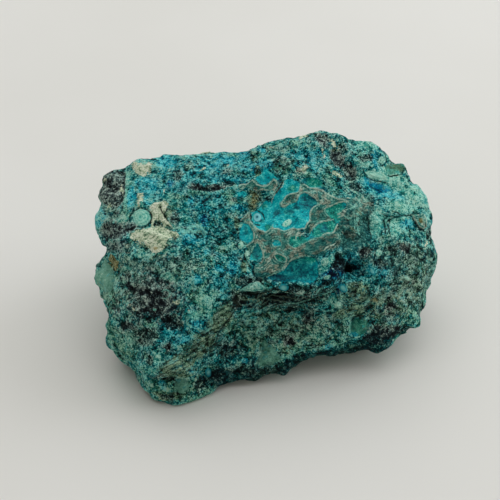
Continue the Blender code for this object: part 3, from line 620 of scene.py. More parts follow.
CRACKS = filled(Line, [
    ("oval", 1.7, [
        136, 208.7, 141, 207, 146.5, 208.9, 150.8, 213, 152.3, 218, 150.2, 222.6, 146, 225.7, 141, 227.4,
        137, 226.8]),
    ("rim of top left corner", 1.6, [129, 165, 134, 161.4, 141, 160.4, 149, 160, 157, 159.4]),
    ("seam in branch", 1.5, [160, 206, 161.5, 211, 164.5, 216, 167.5, 220.5]),
    ("wedge by oval", 2.4, [133.5, 209.5, 131, 212.5, 129.5, 215]),
    ("under white stroke", 1.5, [205.5, 234, 211, 234.2, 215, 236.3, 220.5, 235.4]),
    ("left cell", 2.0, [368.6, 219, 368.8, 229, 371, 236.5]),
    ("left cell, right", 1.8, [383.5, 221, 385.5, 226, 385.3, 233]),
    ("between cells", 1.8, [389.3, 219.5, 388.9, 226, 389.6, 234]),
    ("over cells, long", 2.2, [
        394, 211.5, 399, 212.6, 402, 215, 405.5, 215.4, 410.3, 215.2, 413, 219.3, 416, 224, 419, 228,
        424, 230.3]),
    ("over cells, right", 1.3, [410.3, 215.2, 413.5, 213.8, 417.5, 213.8]),
    ("over cells, left", 1.3, [382.5, 213.5, 387.5, 216.6, 393, 215.4]),
    ("under pale rim", 1.6, [387.5, 221, 391.5, 218.4, 397, 216.6, 402, 215.6]),
    ("right oval", 1.6, [363.6, 170.5, 364.5, 173.5, 367.5, 177.2, 373.5, 180.2, 380.5, 181.6, 386, 182.5]),
    ("second streak in smear", 1.0, [370, 185.5, 376, 189, 382, 191.5]),
    ("lobe step", 1.8, [233, 306, 232, 314, 228, 321, 222, 328, 219, 334, 217, 341, 212, 347, 205, 353]),
    ("front hem", 2.0, [279.5, 353.5, 283, 353, 287, 354]),
    ("front hem, right", 1.3, [304, 347, 316, 346.5, 328, 346]),
    ("gallery, high", 1.3, [240, 292.5, 248, 295, 257, 296]),
    ("gallery, right", 1.4, [300, 297, 306, 294.5, 312, 290.5]),
    ("gallery, lower", 1.4, [299, 305.5, 306, 302, 312, 299.8, 318, 296.6]),
    ("gallery, left", 1.3, [243, 303.5, 249, 302, 256, 303.4]),
    ("over boss", 1.9, [351.5, 320, 354, 317.3, 358, 315.4, 361.5, 316.3]),
    ("arc under vug", 1.5, [345, 309, 350.5, 305, 356, 302.3, 360.5, 303.4]),
    ("arc over leaf", 2.2, [266, 281, 271, 284, 274.5, 288.5, 274, 293]),
    ("halo of eye", 2.2, [250.6, 215, 251.2, 220, 254, 223.3, 258.5, 223.8]),
    ("halo of eye, right", 1.9, [258.5, 211, 262.3, 212.5, 264, 217.3]),
    ("right of loop", 1.7, [275, 175.5, 281.3, 180.5, 281, 185.5, 278.3, 189.5, 275.6, 193]),
    ("left of dark cell", 2.0, [244, 256, 246, 262, 250, 267, 254, 272, 255.3, 277]),
    ("foot of dark cell", 1.3, [252, 262, 259, 261.7]),
    ("knob", 1.2, [388.5, 174.5, 395, 175.3, 402.5, 173.4, 405.3, 170]),
    ("nodule", 1.3, [386, 155.5, 387.3, 160, 385.5, 164.5, 380, 165]),
    ("rim of rimmed pool", 1.4, [278.5, 256.5, 283, 259.6]),
])


class Bead(NamedTuple):
    """A small round nodule, its middle and half sizes in picture pixels, its turn in degrees."""

    name: str
    across: float
    down: float
    half_wide: float
    half_high: float
    kind: str
    turn: float = 0.0


BEADS = filled(Bead, [
    ("eye", 257.2, 217, 4.1, 4.4, "eye"),
    ("white in bright pool", 287, 223, 5.2, 3.2, "white", -35),
    ("white, left", 240.8, 245.8, 2.7, 3.9, "white", 10),
    ("white, by dark cell", 247.2, 254, 2.3, 3.4, "white", 15),
    ("mint over flank", 378, 253, 3.6, 3.4, "white"),
    ("under vug's rim", 327, 277, 3.8, 1.9, "white", -22),
    ("far right", 406, 278, 3.4, 1.8, "white", 28),
    ("gallery, high", 337.5, 303.5, 3.6, 2, "white", -15),
    ("gallery, low", 339.5, 307, 2.4, 1.2, "white", -15),
    ("lobe", 154, 310, 2, 1.3, "white", -10),
    ("lobe, low", 158.5, 357, 3, 2.2, "white", 20),
    ("turquoise under lip", 283.5, 288, 5, 4.3, "turquoise"),
    ("turquoise in foot's notch", 208.2, 372.5, 3.2, 4.9, "turquoise", -10),
    ("gallery pocket", 343.3, 288.5, 3.8, 3.4, "turquoise"),
    ("right of vug", 372, 271, 2.6, 5, "turquoise", -25),
    ("blue knob", 383.3, 272, 1.7, 3.2, "turquoise", 30),
    ("right cell", 411, 227, 2.6, 2, "turquoise", 30),
    ("front", 327, 352.5, 3, 1.6, "turquoise"),
])


class Swell(NamedTuple):
    """A broad rise or dent on the show side, its middle and half sizes in pixels, its height in mm."""

    name: str
    across: float
    down: float
    half_wide: float
    half_high: float
    height: float


SWELLS = filled(Swell, [
    ("left shoulder", 107, 181, 9, 9, 3.0),
    ("left shoulder, low", 108, 197, 7, 8, 2.1),
    ("top left corner", 130, 164, 7, 4, 1.0),
    ("top left corner, rim", 144, 164, 14, 5, 1.0),
    ("left waist", 103, 253, 5, 5, -0.6),
    ("cheek, top", 96, 263, 6, 7, -2.2),
    ("cheek, low", 98, 288, 5, 7, -1.0),
    ("left flank", 104, 313, 5, 9, -1.6),
    ("lobe's left hem", 130, 378, 8, 12, -1.6),
    ("foot, left", 146, 396, 9, 8, -1.0),
    ("top edge", 205, 150, 8, 5, -0.8),
    ("brow", 258, 145, 8, 4, -0.5),
    ("summit", 320, 132, 13, 6, 1.0),
    ("behind summit", 372, 145, 9, 6, 1.0),
    ("notch by knob", 396, 160, 8, 4, -1.4),
    ("right flank, high", 432, 277, 6, 14, -1.2),
    ("right flank, middle", 429, 294, 6, 9, -1.2),
    ("right nub", 416, 324, 8, 7, 2.2),
    ("right end, high", 428, 214, 6, 10, 0.3),
    ("under right hem", 403, 343, 10, 9, -4.0),
])


# How far the foot of the front wall stands back under the hem, in mm, at places across the picture in pixels.
HEM_ACROSS = (284, 292, 304, 348, 358, 367, 378, 388, 396, 404, 411)
HEM_DEPTHS = (0, 2.2, 3.4, 4.0, 4.0, 1.8, -2.0, -1.0, 1.5, 4.5, 0)
# Where the wall's front lies behind the front edge, in mm, at such places.
HEM_FRONT = ((292, 372, 404), (-21.5, -11.0, -5.0))
# In mm: the hem's height, the height below which the foot stands back in full, and how far in it reaches.
HEM_HEIGHT, HEM_FULL, HEM_REACH = 13.0, 4.0, 15.0


class Seam(NamedTuple):
    """A stain anywhere on the stone, for its far sides. Its numbers are in mm."""

    mineral: str
    at: tuple
    reach: float


FAR_SEAMS = filled(Seam, [
    ("cyan", (-30, 12, 40), 9),
    ("cyan", (12, 30, 30), 8),
    ("cyan", (38, 20, 34), 7),
    ("cyan", (44, 2, 22), 6),
    ("mint", (-8, 32, 34), 9),
    ("mint", (30, 28, 18), 8),
    ("mint", (-44, 10, 26), 7),
    ("dark", (-20, 30, 16), 11),
    ("dark", (20, 34, 10), 9),
    ("dark", (46, 8, 12), 8),
    ("dark", (-46, -4, 8), 8),
    ("olive", (-36, 26, 22), 8),
    ("olive", (4, 34, 20), 8),
    ("clay", (-16, 26, 40), 4),
    ("clay", (34, 30, 28), 4),
    ("ochre", (-28, 30, 28), 2.5),
    ("ochre", (24, 34, 22), 2.5),
])

# The longest distance in pixels that is measured from an outline or a line.
FAR_AWAY = 8.0


# ---------------------------------------------------------------- measuring the stone


# How far each seed moves its noise, and how its octaves get weaker and finer.
WAVE_SHIFT, GRAIN_SHIFT = Vector((17.3, 5.1, 9.7)), Vector((3.7, 11.9, 6.1))
OCTAVE_FALL, OCTAVE_STEP = 0.8, 2.1


def waves(points, size, seed, octaves=1):
    """Smooth noise at each point, from about -1 to 1. Size is the length of its waves in metres."""
    places = [Vector(point) + WAVE_SHIFT * seed for point in points / size]
    if octaves == 1:
        return np.array([noise.noise(place) for place in places])
    return np.array([noise.fractal(place, OCTAVE_FALL, OCTAVE_STEP, octaves) for place in places])


def grain_distances(points, size, seed):
    """For grains of that size, how far each point is from the nearest middle and from the second nearest."""
    return np.array([noise.voronoi(Vector(point) + GRAIN_SHIFT * seed)[0][:2] for point in points / size]).T


def smooth_step(low, high, values):
    """0 below low, 1 above high, and an S-shaped rise between them."""
    share = np.clip((values - low) / (high - low), 0, 1)
    return share * share * (3 - 2 * share)


def picture_places(points):
    """Where each point shows in the picture, in pixels across and down."""
    away = points - np.array(CAMERA_AIM + TO_CAMERA * CAMERA_REACH)
    depth = -(away @ np.array(TO_CAMERA))
    focal = PICTURE_SIDE * LENS_MM / FILM_MM
    middle = PICTURE_SIDE / 2
    return middle + focal * away[:, 0] / depth, middle - focal * (away @ np.array(PICTURE_UP)) / depth


CORNER_CUTS = (0.25, 0.75)


def rounded(run, closed=False):
    """A run's places, with each corner cut once so that it bends instead of turning sharply."""
    places = list(zip(run[::2], run[1::2]))
    cut = [
        (start[0] + (end[0] - start[0]) * share, start[1] + (end[1] - start[1]) * share)
        for start, end in zip(places, places[1:] + places[:1] if closed else places[1:])
        for share in CORNER_CUTS
    ]
    return cut if closed else [places[0]] + cut[1:-1] + [places[-1]]


def run_distance(run, across, down):
    """How far each point is from a run of straight pieces, in pixels, and which side of it, 1 or -1."""
    nearest = np.full(len(across), 1e9)
    side = np.ones(len(across))
    for start, end in zip(run, run[1:]):
        along_x, along_y = end[0] - start[0], end[1] - start[1]
        off_x, off_y = across - start[0], down - start[1]
        share = np.clip((off_x * along_x + off_y * along_y) / (along_x**2 + along_y**2), 0, 1)
        off_x, off_y = off_x - share * along_x, off_y - share * along_y
        distance = np.hypot(off_x, off_y)
        closer = distance < nearest
        nearest = np.where(closer, distance, nearest)
        side = np.where(closer, np.where(along_x * off_y >= along_y * off_x, 1.0, -1.0), side)
    return nearest, side


def outline_depth(outline, across, down):
    """How far inside a closed outline each point lies, in pixels. It is negative outside."""
    distance, _ = run_distance(outline + outline[:1], across, down)
    inside = np.zeros(len(across), dtype=bool)
    for start, end in zip(outline, outline[1:] + outline[:1]):
        rise = end[1] - start[1] or 1e-9
        level = (start[1] > down) != (end[1] > down)
        inside ^= level & (across < (end[0] - start[0]) * (down - start[1]) / rise + start[0])
    return np.where(inside, distance, -distance)


def deepest(outlines, across, down):
    """How far inside the nearest of several outlines each point lies, in pixels."""
    depth = np.full(len(across), -FAR_AWAY)
    for outline in outlines.values():
        depth = np.maximum(depth, outline_depth(rounded(outline, closed=True), across, down))
    return np.clip(depth, -FAR_AWAY, FAR_AWAY)


def nearest_line(lines, across, down):
    """The distance to the nearest line, in pixels, and how far to one side of it in widths of that line."""
    near = np.full(len(across), FAR_AWAY)
    side_widths = np.full(len(across), FAR_AWAY)
    for line in lines:
        distance, side = run_distance(rounded(line.run), across, down)
        closer = distance / line.width < np.abs(side_widths)
        near = np.where(closer, distance, near)
        side_widths = np.where(closer, distance * side / line.width, side_widths)
    return near, side_widths


def oval_reach(oval, across, down):
    """How far out of an oval's middle each point lies: 0 in the middle, 1 on its edge."""
    turn = math.radians(getattr(oval, "turn", 0))
    off_x, off_y = across - oval.across, down - oval.down
    long_way = (off_x * math.cos(turn) + off_y * math.sin(turn)) / oval.half_wide
    short_way = (off_y * math.cos(turn) - off_x * math.sin(turn)) / oval.half_high
    return np.hypot(long_way, short_way)


# A stain's depth before it is cut off at 1, and how far it falls from the middle to the edge.
STAIN_START, STAIN_FALL = 1.25, 0.75


def stain(patches, across, down):
    """How deep each point lies in the nearest patch: 1 in its middle, 0.5 on its edge, 0 well outside."""
    deepest_stain = np.zeros(len(across))
    for patch in patches:
        depth = patch.amount * np.clip(STAIN_START - STAIN_FALL * oval_reach(patch, across, down), 0, 1)
        deepest_stain = np.maximum(deepest_stain, depth)
    return deepest_stain


# ---------------------------------------------------------------- the stone's skin

# What the camera sees: how far off the skin a sight line starts, and how far a face may turn away.
SIGHT_START = 0.4 * MM
TURNED_AWAY, TURNED_TO = -0.1, 0.15

# How far a border strays from its outline, in pixels, by broad waves and by tight ones.
BROAD_WAVE, TIGHT_WAVE = 4 * MM, 1.6 * MM
LOOSE_STRAY, FIRM_STRAY = (2.0, 1.2), (0.4, 0.4)

# Stains on the far sides: the first seed of their noise, how strong it is, and how ragged the seams are.
FAR_SEED, FAR_WAVES, SEAM_WAVES = 20, 0.9, 0.2

# How much an area's stain deepens with each pixel behind its border.
AREA_EDGE = 0.16

# How far out a bead's distance is measured, in half sizes of the bead.
BEAD_REACH = 4

# The waves that bend the thin layers: their height and length in mm, and their seed.
FLAT_WAVES, FOLDED_WAVES, BOWED_WAVES = (0.8, 7, 11), (0.5, 6, 12), (0.4, 4, 13)
# The dip of flat layers, where folded ones are counted from and which way, and the middle of the bowed ones.
LAYER_DIP = 0.12
FOLD_START, FOLD_WAY = (228, 330), (0.5, 0.86)
BOW_MIDDLE = (352, 286)
# A layer's thickness and height in mm, and how much of the far sides is layered, in spots of that size.
LAYER_THICKNESS, LAYER_HEIGHT = 1.9, 0.16
FAR_LAYERS, FAR_LAYER_SIZE, FAR_LAYER_SEED = 0.3, 12 * MM, 40

# The grainy rock's rolls, lumps, crumbs, pits and knobs: the size of each and its height in mm.
ROLL_SIZE, ROLL = 5 * MM, 0.26
LUMP_SIZE, LUMP, LUMP_GAP = 2.1 * MM, 0.34, 0.12
CRUMB_SIZE, CRUMB = 1.15 * MM, 0.17
PIT_SIZE, PIT = 3.2 * MM, 0.45
KNOB_SIZE, KNOB = 2.6 * MM, 0.28
# How much calmer the relief is on smooth minerals, and what is left of it in glassy pools.
SMOOTH_CALM, FULL_CALM = 0.75, 0.85
# What minerals and lines add to the relief, in mm. The rim of the crust stands so many pixels inside it.
CRUST_RIM, RIM_INSET, RIM_WIDTH = 0.22, 1.5, 1.6
POOL_SINK, DARK_SINK, PLUM_SINK, CLAY_RISE, BAND_RISE = 0.30, 0.5, 0.25, 0.22, 0.35
CREAM_RIDGE, CREAM_WIDTH, CRACK_GROOVE, CRACK_WIDTH = 0.14, 1.3, 0.30, 1.2
BEAD_DOMES, DOME_SIZE = {"eye": 0.35, "white": 0.6, "turquoise": 0.5}, 1.1

# Near the sole the relief fades out, so that the stone rests on the solid's flat part.
SOLE_EDGE, SOLE_CLEAR, FLAT_SOLE = 0.2 * MM, 1.6 * MM, 0.25 * MM
# How often the skin is evened out to tell its hollows, and what a hollow of 1 mm counts for in their painted
# shade.
HOLLOW_PASSES, HOLLOW_DEPTH = 14, 1.6


def even_skin(node_name):
    """A finely meshed copy of the CAD solid, with its flat facets rounded into one another."""
    shell = bmesh.new()
    shell.from_mesh(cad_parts[node_name].data)
    bmesh.ops.remove_doubles(shell, verts=shell.verts, dist=MERGE_REACH)
    coarse = bpy.data.meshes.new("coarse")
    shell.to_mesh(coarse)
    shell.free()
    skin = bpy.data.objects.new("stone_skin", coarse)
    bpy.context.scene.collection.objects.link(skin)
    cells = skin.modifiers.new("even cells", "REMESH")
    cells.mode = "VOXEL"
    cells.voxel_size = SKIN_CELL
    depsgraph = bpy.context.evaluated_depsgraph_get()
    fine = bpy.data.meshes.new_from_object(skin.evaluated_get(depsgraph))
    skin.modifiers.clear()
    skin.data = fine
    bpy.data.meshes.remove(coarse)
    shell = bmesh.new()
    shell.from_mesh(fine)
    for _ in range(ROUNDING_PASSES):
        bmesh.ops.smooth_vert(
            shell, verts=shell.verts, factor=0.5, use_axis_x=True, use_axis_y=True, use_axis_z=True
        )
    for face in shell.faces:
        face.smooth = True
    shell.to_mesh(fine)
    shell.free()
    return skin


class Surface:
    """The skin's points as arrays, with the measures that the minerals and the relief are laid out by."""

    def __init__(self, mesh):
        count = len(mesh.vertices)
        self.mesh = mesh
        self.points = np.zeros(count * 3)
        mesh.vertices.foreach_get("co", self.points)
        self.points = self.points.reshape(-1, 3)
        normals = np.zeros(count * 3)
        mesh.vertex_normals.foreach_get("vector", normals)
        self.normals = normals.reshape(-1, 3)
        edges = np.zeros(len(mesh.edges) * 2, dtype=np.int64)
        mesh.edges.foreach_get("vertices", edges)
        self.starts, self.ends = edges.reshape(-1, 2).T
        self.neighbours = np.bincount(self.starts, minlength=count) + np.bincount(self.ends, minlength=count)

    def blurred(self, values, passes):
        """The values evened out with their neighbours' as many times."""
        count = len(values)
        for _ in range(passes):
            around = np.bincount(self.starts, weights=values[self.ends], minlength=count)
            around += np.bincount(self.ends, weights=values[self.starts], minlength=count)
            values = (values + around / self.neighbours) / 2
        return values

    def blurred_vectors(self, vectors, passes):
        return np.stack([self.blurred(vectors[:, axis], passes) for axis in range(3)], axis=1)

    def in_view(self):
        """1 where the camera sees the skin, 0 where it doesn't, with a soft step between."""
        tree = BVHTree.FromPolygons(
            [Vector(point) for point in self.points], [tuple(face.vertices) for face in self.mesh.polygons]
        )
        camera = CAMERA_AIM + TO_CAMERA * CAMERA_REACH
        open_sky = np.zeros(len(self.points))
        for index, (point, normal) in enumerate(zip(self.points, self.normals)):
            start = Vector(point) + Vector(normal) * SIGHT_START
            open_sky[index] = tree.ray_cast(start, camera - start)[0] is None
        facing = self.blurred_vectors(self.normals, 6) @ np.array(TO_CAMERA)
        return self.blurred(open_sky, 4) * smooth_step(TURNED_AWAY, TURNED_TO, facing)


def mineral_fields(surface, seen):
    """The depth of every mineral's stain, and of the painted light and shade, at every point, and the
    outlines, lines and rings in the crust.
    """
    points = surface.points
    across, down = picture_places(points)
    broad_x, broad_y = waves(points, BROAD_WAVE, 1, 2), waves(points, BROAD_WAVE, 2, 2)
    tight_x, tight_y = waves(points, TIGHT_WAVE, 3), waves(points, TIGHT_WAVE, 4)
    loose, firm = (
        (across + broad * broad_x + tight * tight_x, down + broad * broad_y + tight * tight_y)
        for broad, tight in (LOOSE_STRAY, FIRM_STRAY)
    )

    fields = {}
    for seed, (mineral, (patches, share, size)) in enumerate(MINERALS.items(), FAR_SEED):
        far = np.clip(0.5 + share + FAR_WAVES * waves(points, size * MM, seed, 3), 0, 1)
        for seam in FAR_SEAMS:
            if seam.mineral == mineral:
                reach = np.linalg.norm(points - np.array(seam.at) * MM, axis=1) / (seam.reach * MM)
                depth = STAIN_START - STAIN_FALL * reach + SEAM_WAVES * broad_x
                far = np.maximum(far, np.clip(depth, 0, 1))
        fields[mineral] = seen * stain(patches, *loose) + (1 - seen) * far

    fields["smooth"] = np.zeros(len(points))
    for area in AREAS:
        depth = outline_depth(rounded(area.outline, closed=True), *firm)
        inside = seen * np.clip(0.5 + AREA_EDGE * depth, 0, 1)
        fields[area.mineral] = np.maximum(fields[area.mineral], inside)
        if area.name in SMOOTH_AREAS:
            fields["smooth"] = np.maximum(fields["smooth"], inside)

    hidden = (1 - seen) * 2 * FAR_AWAY
    pool_depth = deepest(POOLS, *firm)
    fields["pool"] = pool_depth - hidden
    fields["crust"] = np.minimum(deepest(CRUSTS, *firm), -pool_depth) - hidden
    fields["bands"] = deepest(BANDED, *firm) - hidden
    for name, lines in (("cream", CREAM_LINES), ("crack", CRACKS)):
        near, side_widths = nearest_line(lines, *firm)
        fields[name + "_near"], fields[name + "_side"] = near + hidden, side_widths
    for kind in BEAD_DOMES:
        reaches = [oval_reach(bead, across, down) for bead in BEADS if bead.kind == kind]
        fields[kind] = np.clip(np.min(reaches, axis=0), 0, BEAD_REACH) + (1 - seen) * BEAD_REACH
    return fields


def layer_phase(points):
    """How far up the thin layers each point lies, in mm: flat, folded on the ridge, bowed in the band."""

    def bent(height, length, seed):
        return height * waves(points, length * MM, seed, 2)

    across, down = picture_places(points)
    flat = points[:, 2] / MM + LAYER_DIP * points[:, 0] / MM + bent(*FLAT_WAVES)
    along = FOLD_WAY[0] * (across - FOLD_START[0]) + FOLD_WAY[1] * (down - FOLD_START[1])
    folded = along / PIXELS_PER_MM + bent(*FOLDED_WAVES)
    bowed = np.hypot(across - BOW_MIDDLE[0], down - BOW_MIDDLE[1]) / PIXELS_PER_MM + bent(*BOWED_WAVES)
    on_ridge = smooth_step(0.25, 0.45, stain(RIDGE_PATCHES, across, down))
    on_band = smooth_step(0.2, 0.4, stain(BOWED_PATCHES, across, down))
    flat = flat * (1 - on_band) + bowed * on_band
    return flat * (1 - on_ridge) + folded * on_ridge


def swollen(surface):
    """The broad rises and dents of the skin, in mm, on everything that doesn't face well away."""
    across, down = picture_places(surface.points)
    facing = surface.normals @ np.array(TO_CAMERA)
    height = sum(swell.height * np.exp(-oval_reach(swell, across, down) ** 2) for swell in SWELLS)
    return height * smooth_step(-0.7, -0.3, facing)


def stood_back(points):
    """How far each point of the front wall's foot stands back under the hem, in metres."""
    across, _ = picture_places(points)
    behind = points[:, 1] / MM - np.interp(across, *HEM_FRONT)
    low = smooth_step(HEM_HEIGHT, HEM_FULL, points[:, 2] / MM)
    return np.interp(across, HEM_ACROSS, HEM_DEPTHS) * low * smooth_step(HEM_REACH, 0, behind) * MM


def relief(surface, fields):
    """How far the skin stands out at each point, in metres."""
    points = surface.points
    smooth = smooth_step(0.4, 0.7, fields["smooth"])
    calm = np.maximum(smooth_step(-0.5, 1.5, fields["pool"]), SMOOTH_CALM * smooth)
    lumps, between = grain_distances(points, LUMP_SIZE, 1)
    crumbs, _ = grain_distances(points, CRUMB_SIZE, 2)
    rough = ROLL * waves(points, ROLL_SIZE, 5, 3)
    rough += LUMP * (0.5 - lumps) + LUMP_GAP * np.clip(between - lumps, 0, 0.5)
    rough += CRUMB * (0.5 - crumbs)
    rough -= PIT * smooth_step(0.25, 0.6, -waves(points, PIT_SIZE, 6))
    rough += KNOB * smooth_step(0.3, 0.6, waves(points, KNOB_SIZE, 7))
    height = rough * (1 - FULL_CALM * calm) + swollen(surface)
    height += CRUST_RIM * np.exp(-(((fields["crust"] - RIM_INSET) / RIM_WIDTH) ** 2))
    height -= POOL_SINK * smooth_step(0, 3, fields["pool"])
    height += CREAM_RIDGE * np.exp(-((fields["cream_near"] / CREAM_WIDTH) ** 2))
    height -= CRACK_GROOVE * np.exp(-((fields["crack_near"] / CRACK_WIDTH) ** 2))
    dark, plum = smooth_step(0.5, 0.8, fields["dark"]), smooth_step(0.5, 0.8, fields["plum"])
    height -= DARK_SINK * dark + PLUM_SINK * plum
    height += CLAY_RISE * smooth_step(0.4, 0.8, fields["clay"])
    height += BAND_RISE * smooth_step(0, 5, fields["bands"])
    for kind, rise in BEAD_DOMES.items():
        height += rise * np.sqrt(np.clip(1 - (fields[kind] / DOME_SIZE) ** 2, 0, 1))
    return height * MM


def dress_skin(skin):
    """Lays the minerals on the skin and raises its relief."""
    surface = Surface(skin.data)
    points = surface.points
    seen = surface.in_view()
    fields = mineral_fields(surface, seen)
    far_layers = np.clip(FAR_LAYERS + waves(points, FAR_LAYER_SIZE, FAR_LAYER_SEED), 0, 1)
    near_layers = stain(LAYERED_PATCHES, *picture_places(points))
    fields["layered"] = np.maximum(near_layers * seen, (1 - seen) * far_layers)
    fields["layers"] = layer_phase(points)
    height = relief(surface, fields)
    layering = smooth_step(0.4, 0.7, fields["layered"])
    height += LAYER_HEIGHT * MM * layering * np.sin(fields["layers"] * 2 * math.pi / LAYER_THICKNESS)
    above_sole = smooth_step(SOLE_EDGE, SOLE_CLEAR, points[:, 2])
    out = surface.blurred_vectors(surface.normals, 3)
    out /= np.linalg.norm(out, axis=1)[:, None]
    moved = points + out * (height * above_sole)[:, None]
    moved[:, 1] += stood_back(points)
    moved[:, 2] = np.where(moved[:, 2] < FLAT_SOLE, np.maximum(moved[:, 2], 0), moved[:, 2])
    surface.mesh.vertices.foreach_set("co", moved.ravel())
    surface.mesh.update()
    # How deep each point lies in a hollow; the finish darkens hollows and lightens crests with it, as painted
    # shade and light.
    sunk = ((surface.blurred_vectors(moved, HOLLOW_PASSES) - moved) * out).sum(axis=1) / MM
    fields["hollow"] = np.clip(sunk * HOLLOW_DEPTH, -1, 1)
    for name, values in fields.items():
        layer = surface.mesh.attributes.new(name, "FLOAT", "POINT")
        layer.data.foreach_set("value", np.asarray(values, dtype=np.float32))


# ---------------------------------------------------------------- finishes


def tint(red, green, blue):
    """A colour as a painter mixes it, 0 to 255 a channel, turned into the light values that Blender wants."""
    shares = [channel / 255 for channel in (red, green, blue)]
    linear = [share / 12.92 if share <= 0.04045 else ((share + 0.055) / 1.055) ** 2.4 for share in shares]
    return (*linear, 1.0)


# The sockets of a Mix node that mixes colours.
MIX_SHARE, MIX_UNDER, MIX_OVER, MIX_RESULT = 0, 6, 7, 2


class Wiring:
    """Adds shader nodes to one tree, a short call for each, and wires them up as it goes."""

    def __init__(self, tree):
        self.tree = tree

    def node(self, kind, inputs=None, **settings):
        made = self.tree.nodes.new(kind)
        for name, value in settings.items():
            setattr(made, name, value)
        for name, value in (inputs or {}).items():
            self.feed(made.inputs[name], value)
        return made

    def feed(self, socket, value):
        if isinstance(value, bpy.types.NodeSocket):
            self.tree.links.new(value, socket)
        else:
            socket.default_value = value

    def maths(self, operation, *values, clamp=False):
        made = self.tree.nodes.new("ShaderNodeMath")
        made.operation = operation
        made.use_clamp = clamp
        for socket, value in zip(made.inputs, values):
            self.feed(socket, value)
        return made.outputs[0]

    def add(self, a, b):
        return self.maths("ADD", a, b)

    def times(self, a, b):
        return self.maths("MULTIPLY", a, b)

    def off_middle(self, a):
        return self.maths("SUBTRACT", a, 0.5)

    def flip(self, a):
        return self.maths("SUBTRACT", 1.0, a, clamp=True)

    def most(self, a, b):
        return self.maths("MAXIMUM", a, b)

    def step(self, value, low, high, start=0.0, end=1.0):
        """An S-shaped rise from start at low to end at high."""
        ends = {"Value": value, "From Min": low, "From Max": high, "To Min": start, "To Max": end}
        return self.node("ShaderNodeMapRange", ends, interpolation_type="SMOOTHSTEP").outputs[0]

    def fall(self, value, low, high):
        """An S-shaped fall from 1 at low to 0 at high."""
        return self.step(value, low, high, 1.0, 0.0)

    def blend(self, share, under, over):
        """One colour over another, by that share."""
        made = self.node("ShaderNodeMix", data_type="RGBA", clamp_factor=True)
        for socket, value in ((MIX_SHARE, share), (MIX_UNDER, under), (MIX_OVER, over)):
            self.feed(made.inputs[socket], value)
        return made.outputs[MIX_RESULT]

    def ramp(self, value, stops):
        made = self.node("ShaderNodeValToRGB", {"Fac": value})
        steps = made.color_ramp.elements
        while len(steps) < len(stops):
            steps.new(0.5)
        for step, (position, colour) in zip(steps, stops):
            step.position = position
            step.color = colour
        return made.outputs[0]

    def noise(self, place, scale, detail=2.0, roughness=0.5, distortion=0.0):
        inputs = {"Scale": scale, "Detail": detail, "Roughness": roughness, "Distortion": distortion}
        return self.node("ShaderNodeTexNoise", {"Vector": place, **inputs}).outputs["Fac"]

    def shaken(self, place, scale, amount, middle=0.0):
        """The places moved about by noise, so that cells laid on them get uneven borders."""
        shake = self.node("ShaderNodeTexNoise", {"Vector": place, "Scale": scale}).outputs["Color"]
        for operation, inputs in (
            ("SUBTRACT", {1: (middle, middle, middle)}),
            ("SCALE", {"Scale": amount}),
            ("ADD", {1: place}),
        ):
            shake = self.node("ShaderNodeVectorMath", {0: shake, **inputs}, operation=operation).outputs[0]
        return shake

    def channels(self, colour):
        return self.node("ShaderNodeSeparateColor", {"Color": colour}).outputs

    def weighed(self, parts, weights):
        """The sum of the parts, each by its own weight."""
        total = 0.0
        for name, weight in weights.items():
            total = self.add(total, self.times(parts[name], weight))
        return total

    def field(self, name):
        return self.node("ShaderNodeAttribute", attribute_name=name).outputs["Fac"]

    def group(self, tree, **inputs):
        made = self.tree.nodes.new("ShaderNodeGroup")
        made.node_tree = tree
        for name, value in inputs.items():
            self.feed(made.inputs[name.replace("_", " ")], value)
        return made.outputs


def new_group(name, inputs, outputs):
    """An empty node group with these named sockets, its wiring, and its own input and output sockets."""
    tree = bpy.data.node_groups.new(name, "ShaderNodeTree")
    kinds = {"number": "NodeSocketFloat", "colour": "NodeSocketColor", "place": "NodeSocketVector"}
    for way, sockets in (("INPUT", inputs), ("OUTPUT", outputs)):
        for socket_name, kind in sockets.items():
            tree.interface.new_socket(name=socket_name, in_out=way, socket_type=kinds[kind])
    start, end = tree.nodes.new("NodeGroupInput").outputs, tree.nodes.new("NodeGroupOutput").inputs
    return tree, Wiring(tree), start, end


# How much finer than the coarse grains each part of them is, and how much it adds to their tone and height.
GRAIN_FINENESS = {"shake": 1.3, "fine": 2.0, "cloud": 0.45, "speck": 2.3, "fold": 1.3}
GRAIN_TONES = {"coarse": 0.3, "fine": 0.45, "cloud": 0.65, "speck": 0.75, "fold": 1.7}
GRAIN_HEIGHTS = {"coarse": -0.45, "fine": -0.4, "speck": 0.45, "cloud": 0.9}
# How far noise moves the grains and the flecks, in mm, and the half width of a fold.
GRAIN_SHAKE, FLECK_SHAKE, FLECK_FINENESS, FOLD_WIDTH = 0.8, 0.9, 2.4, 0.1


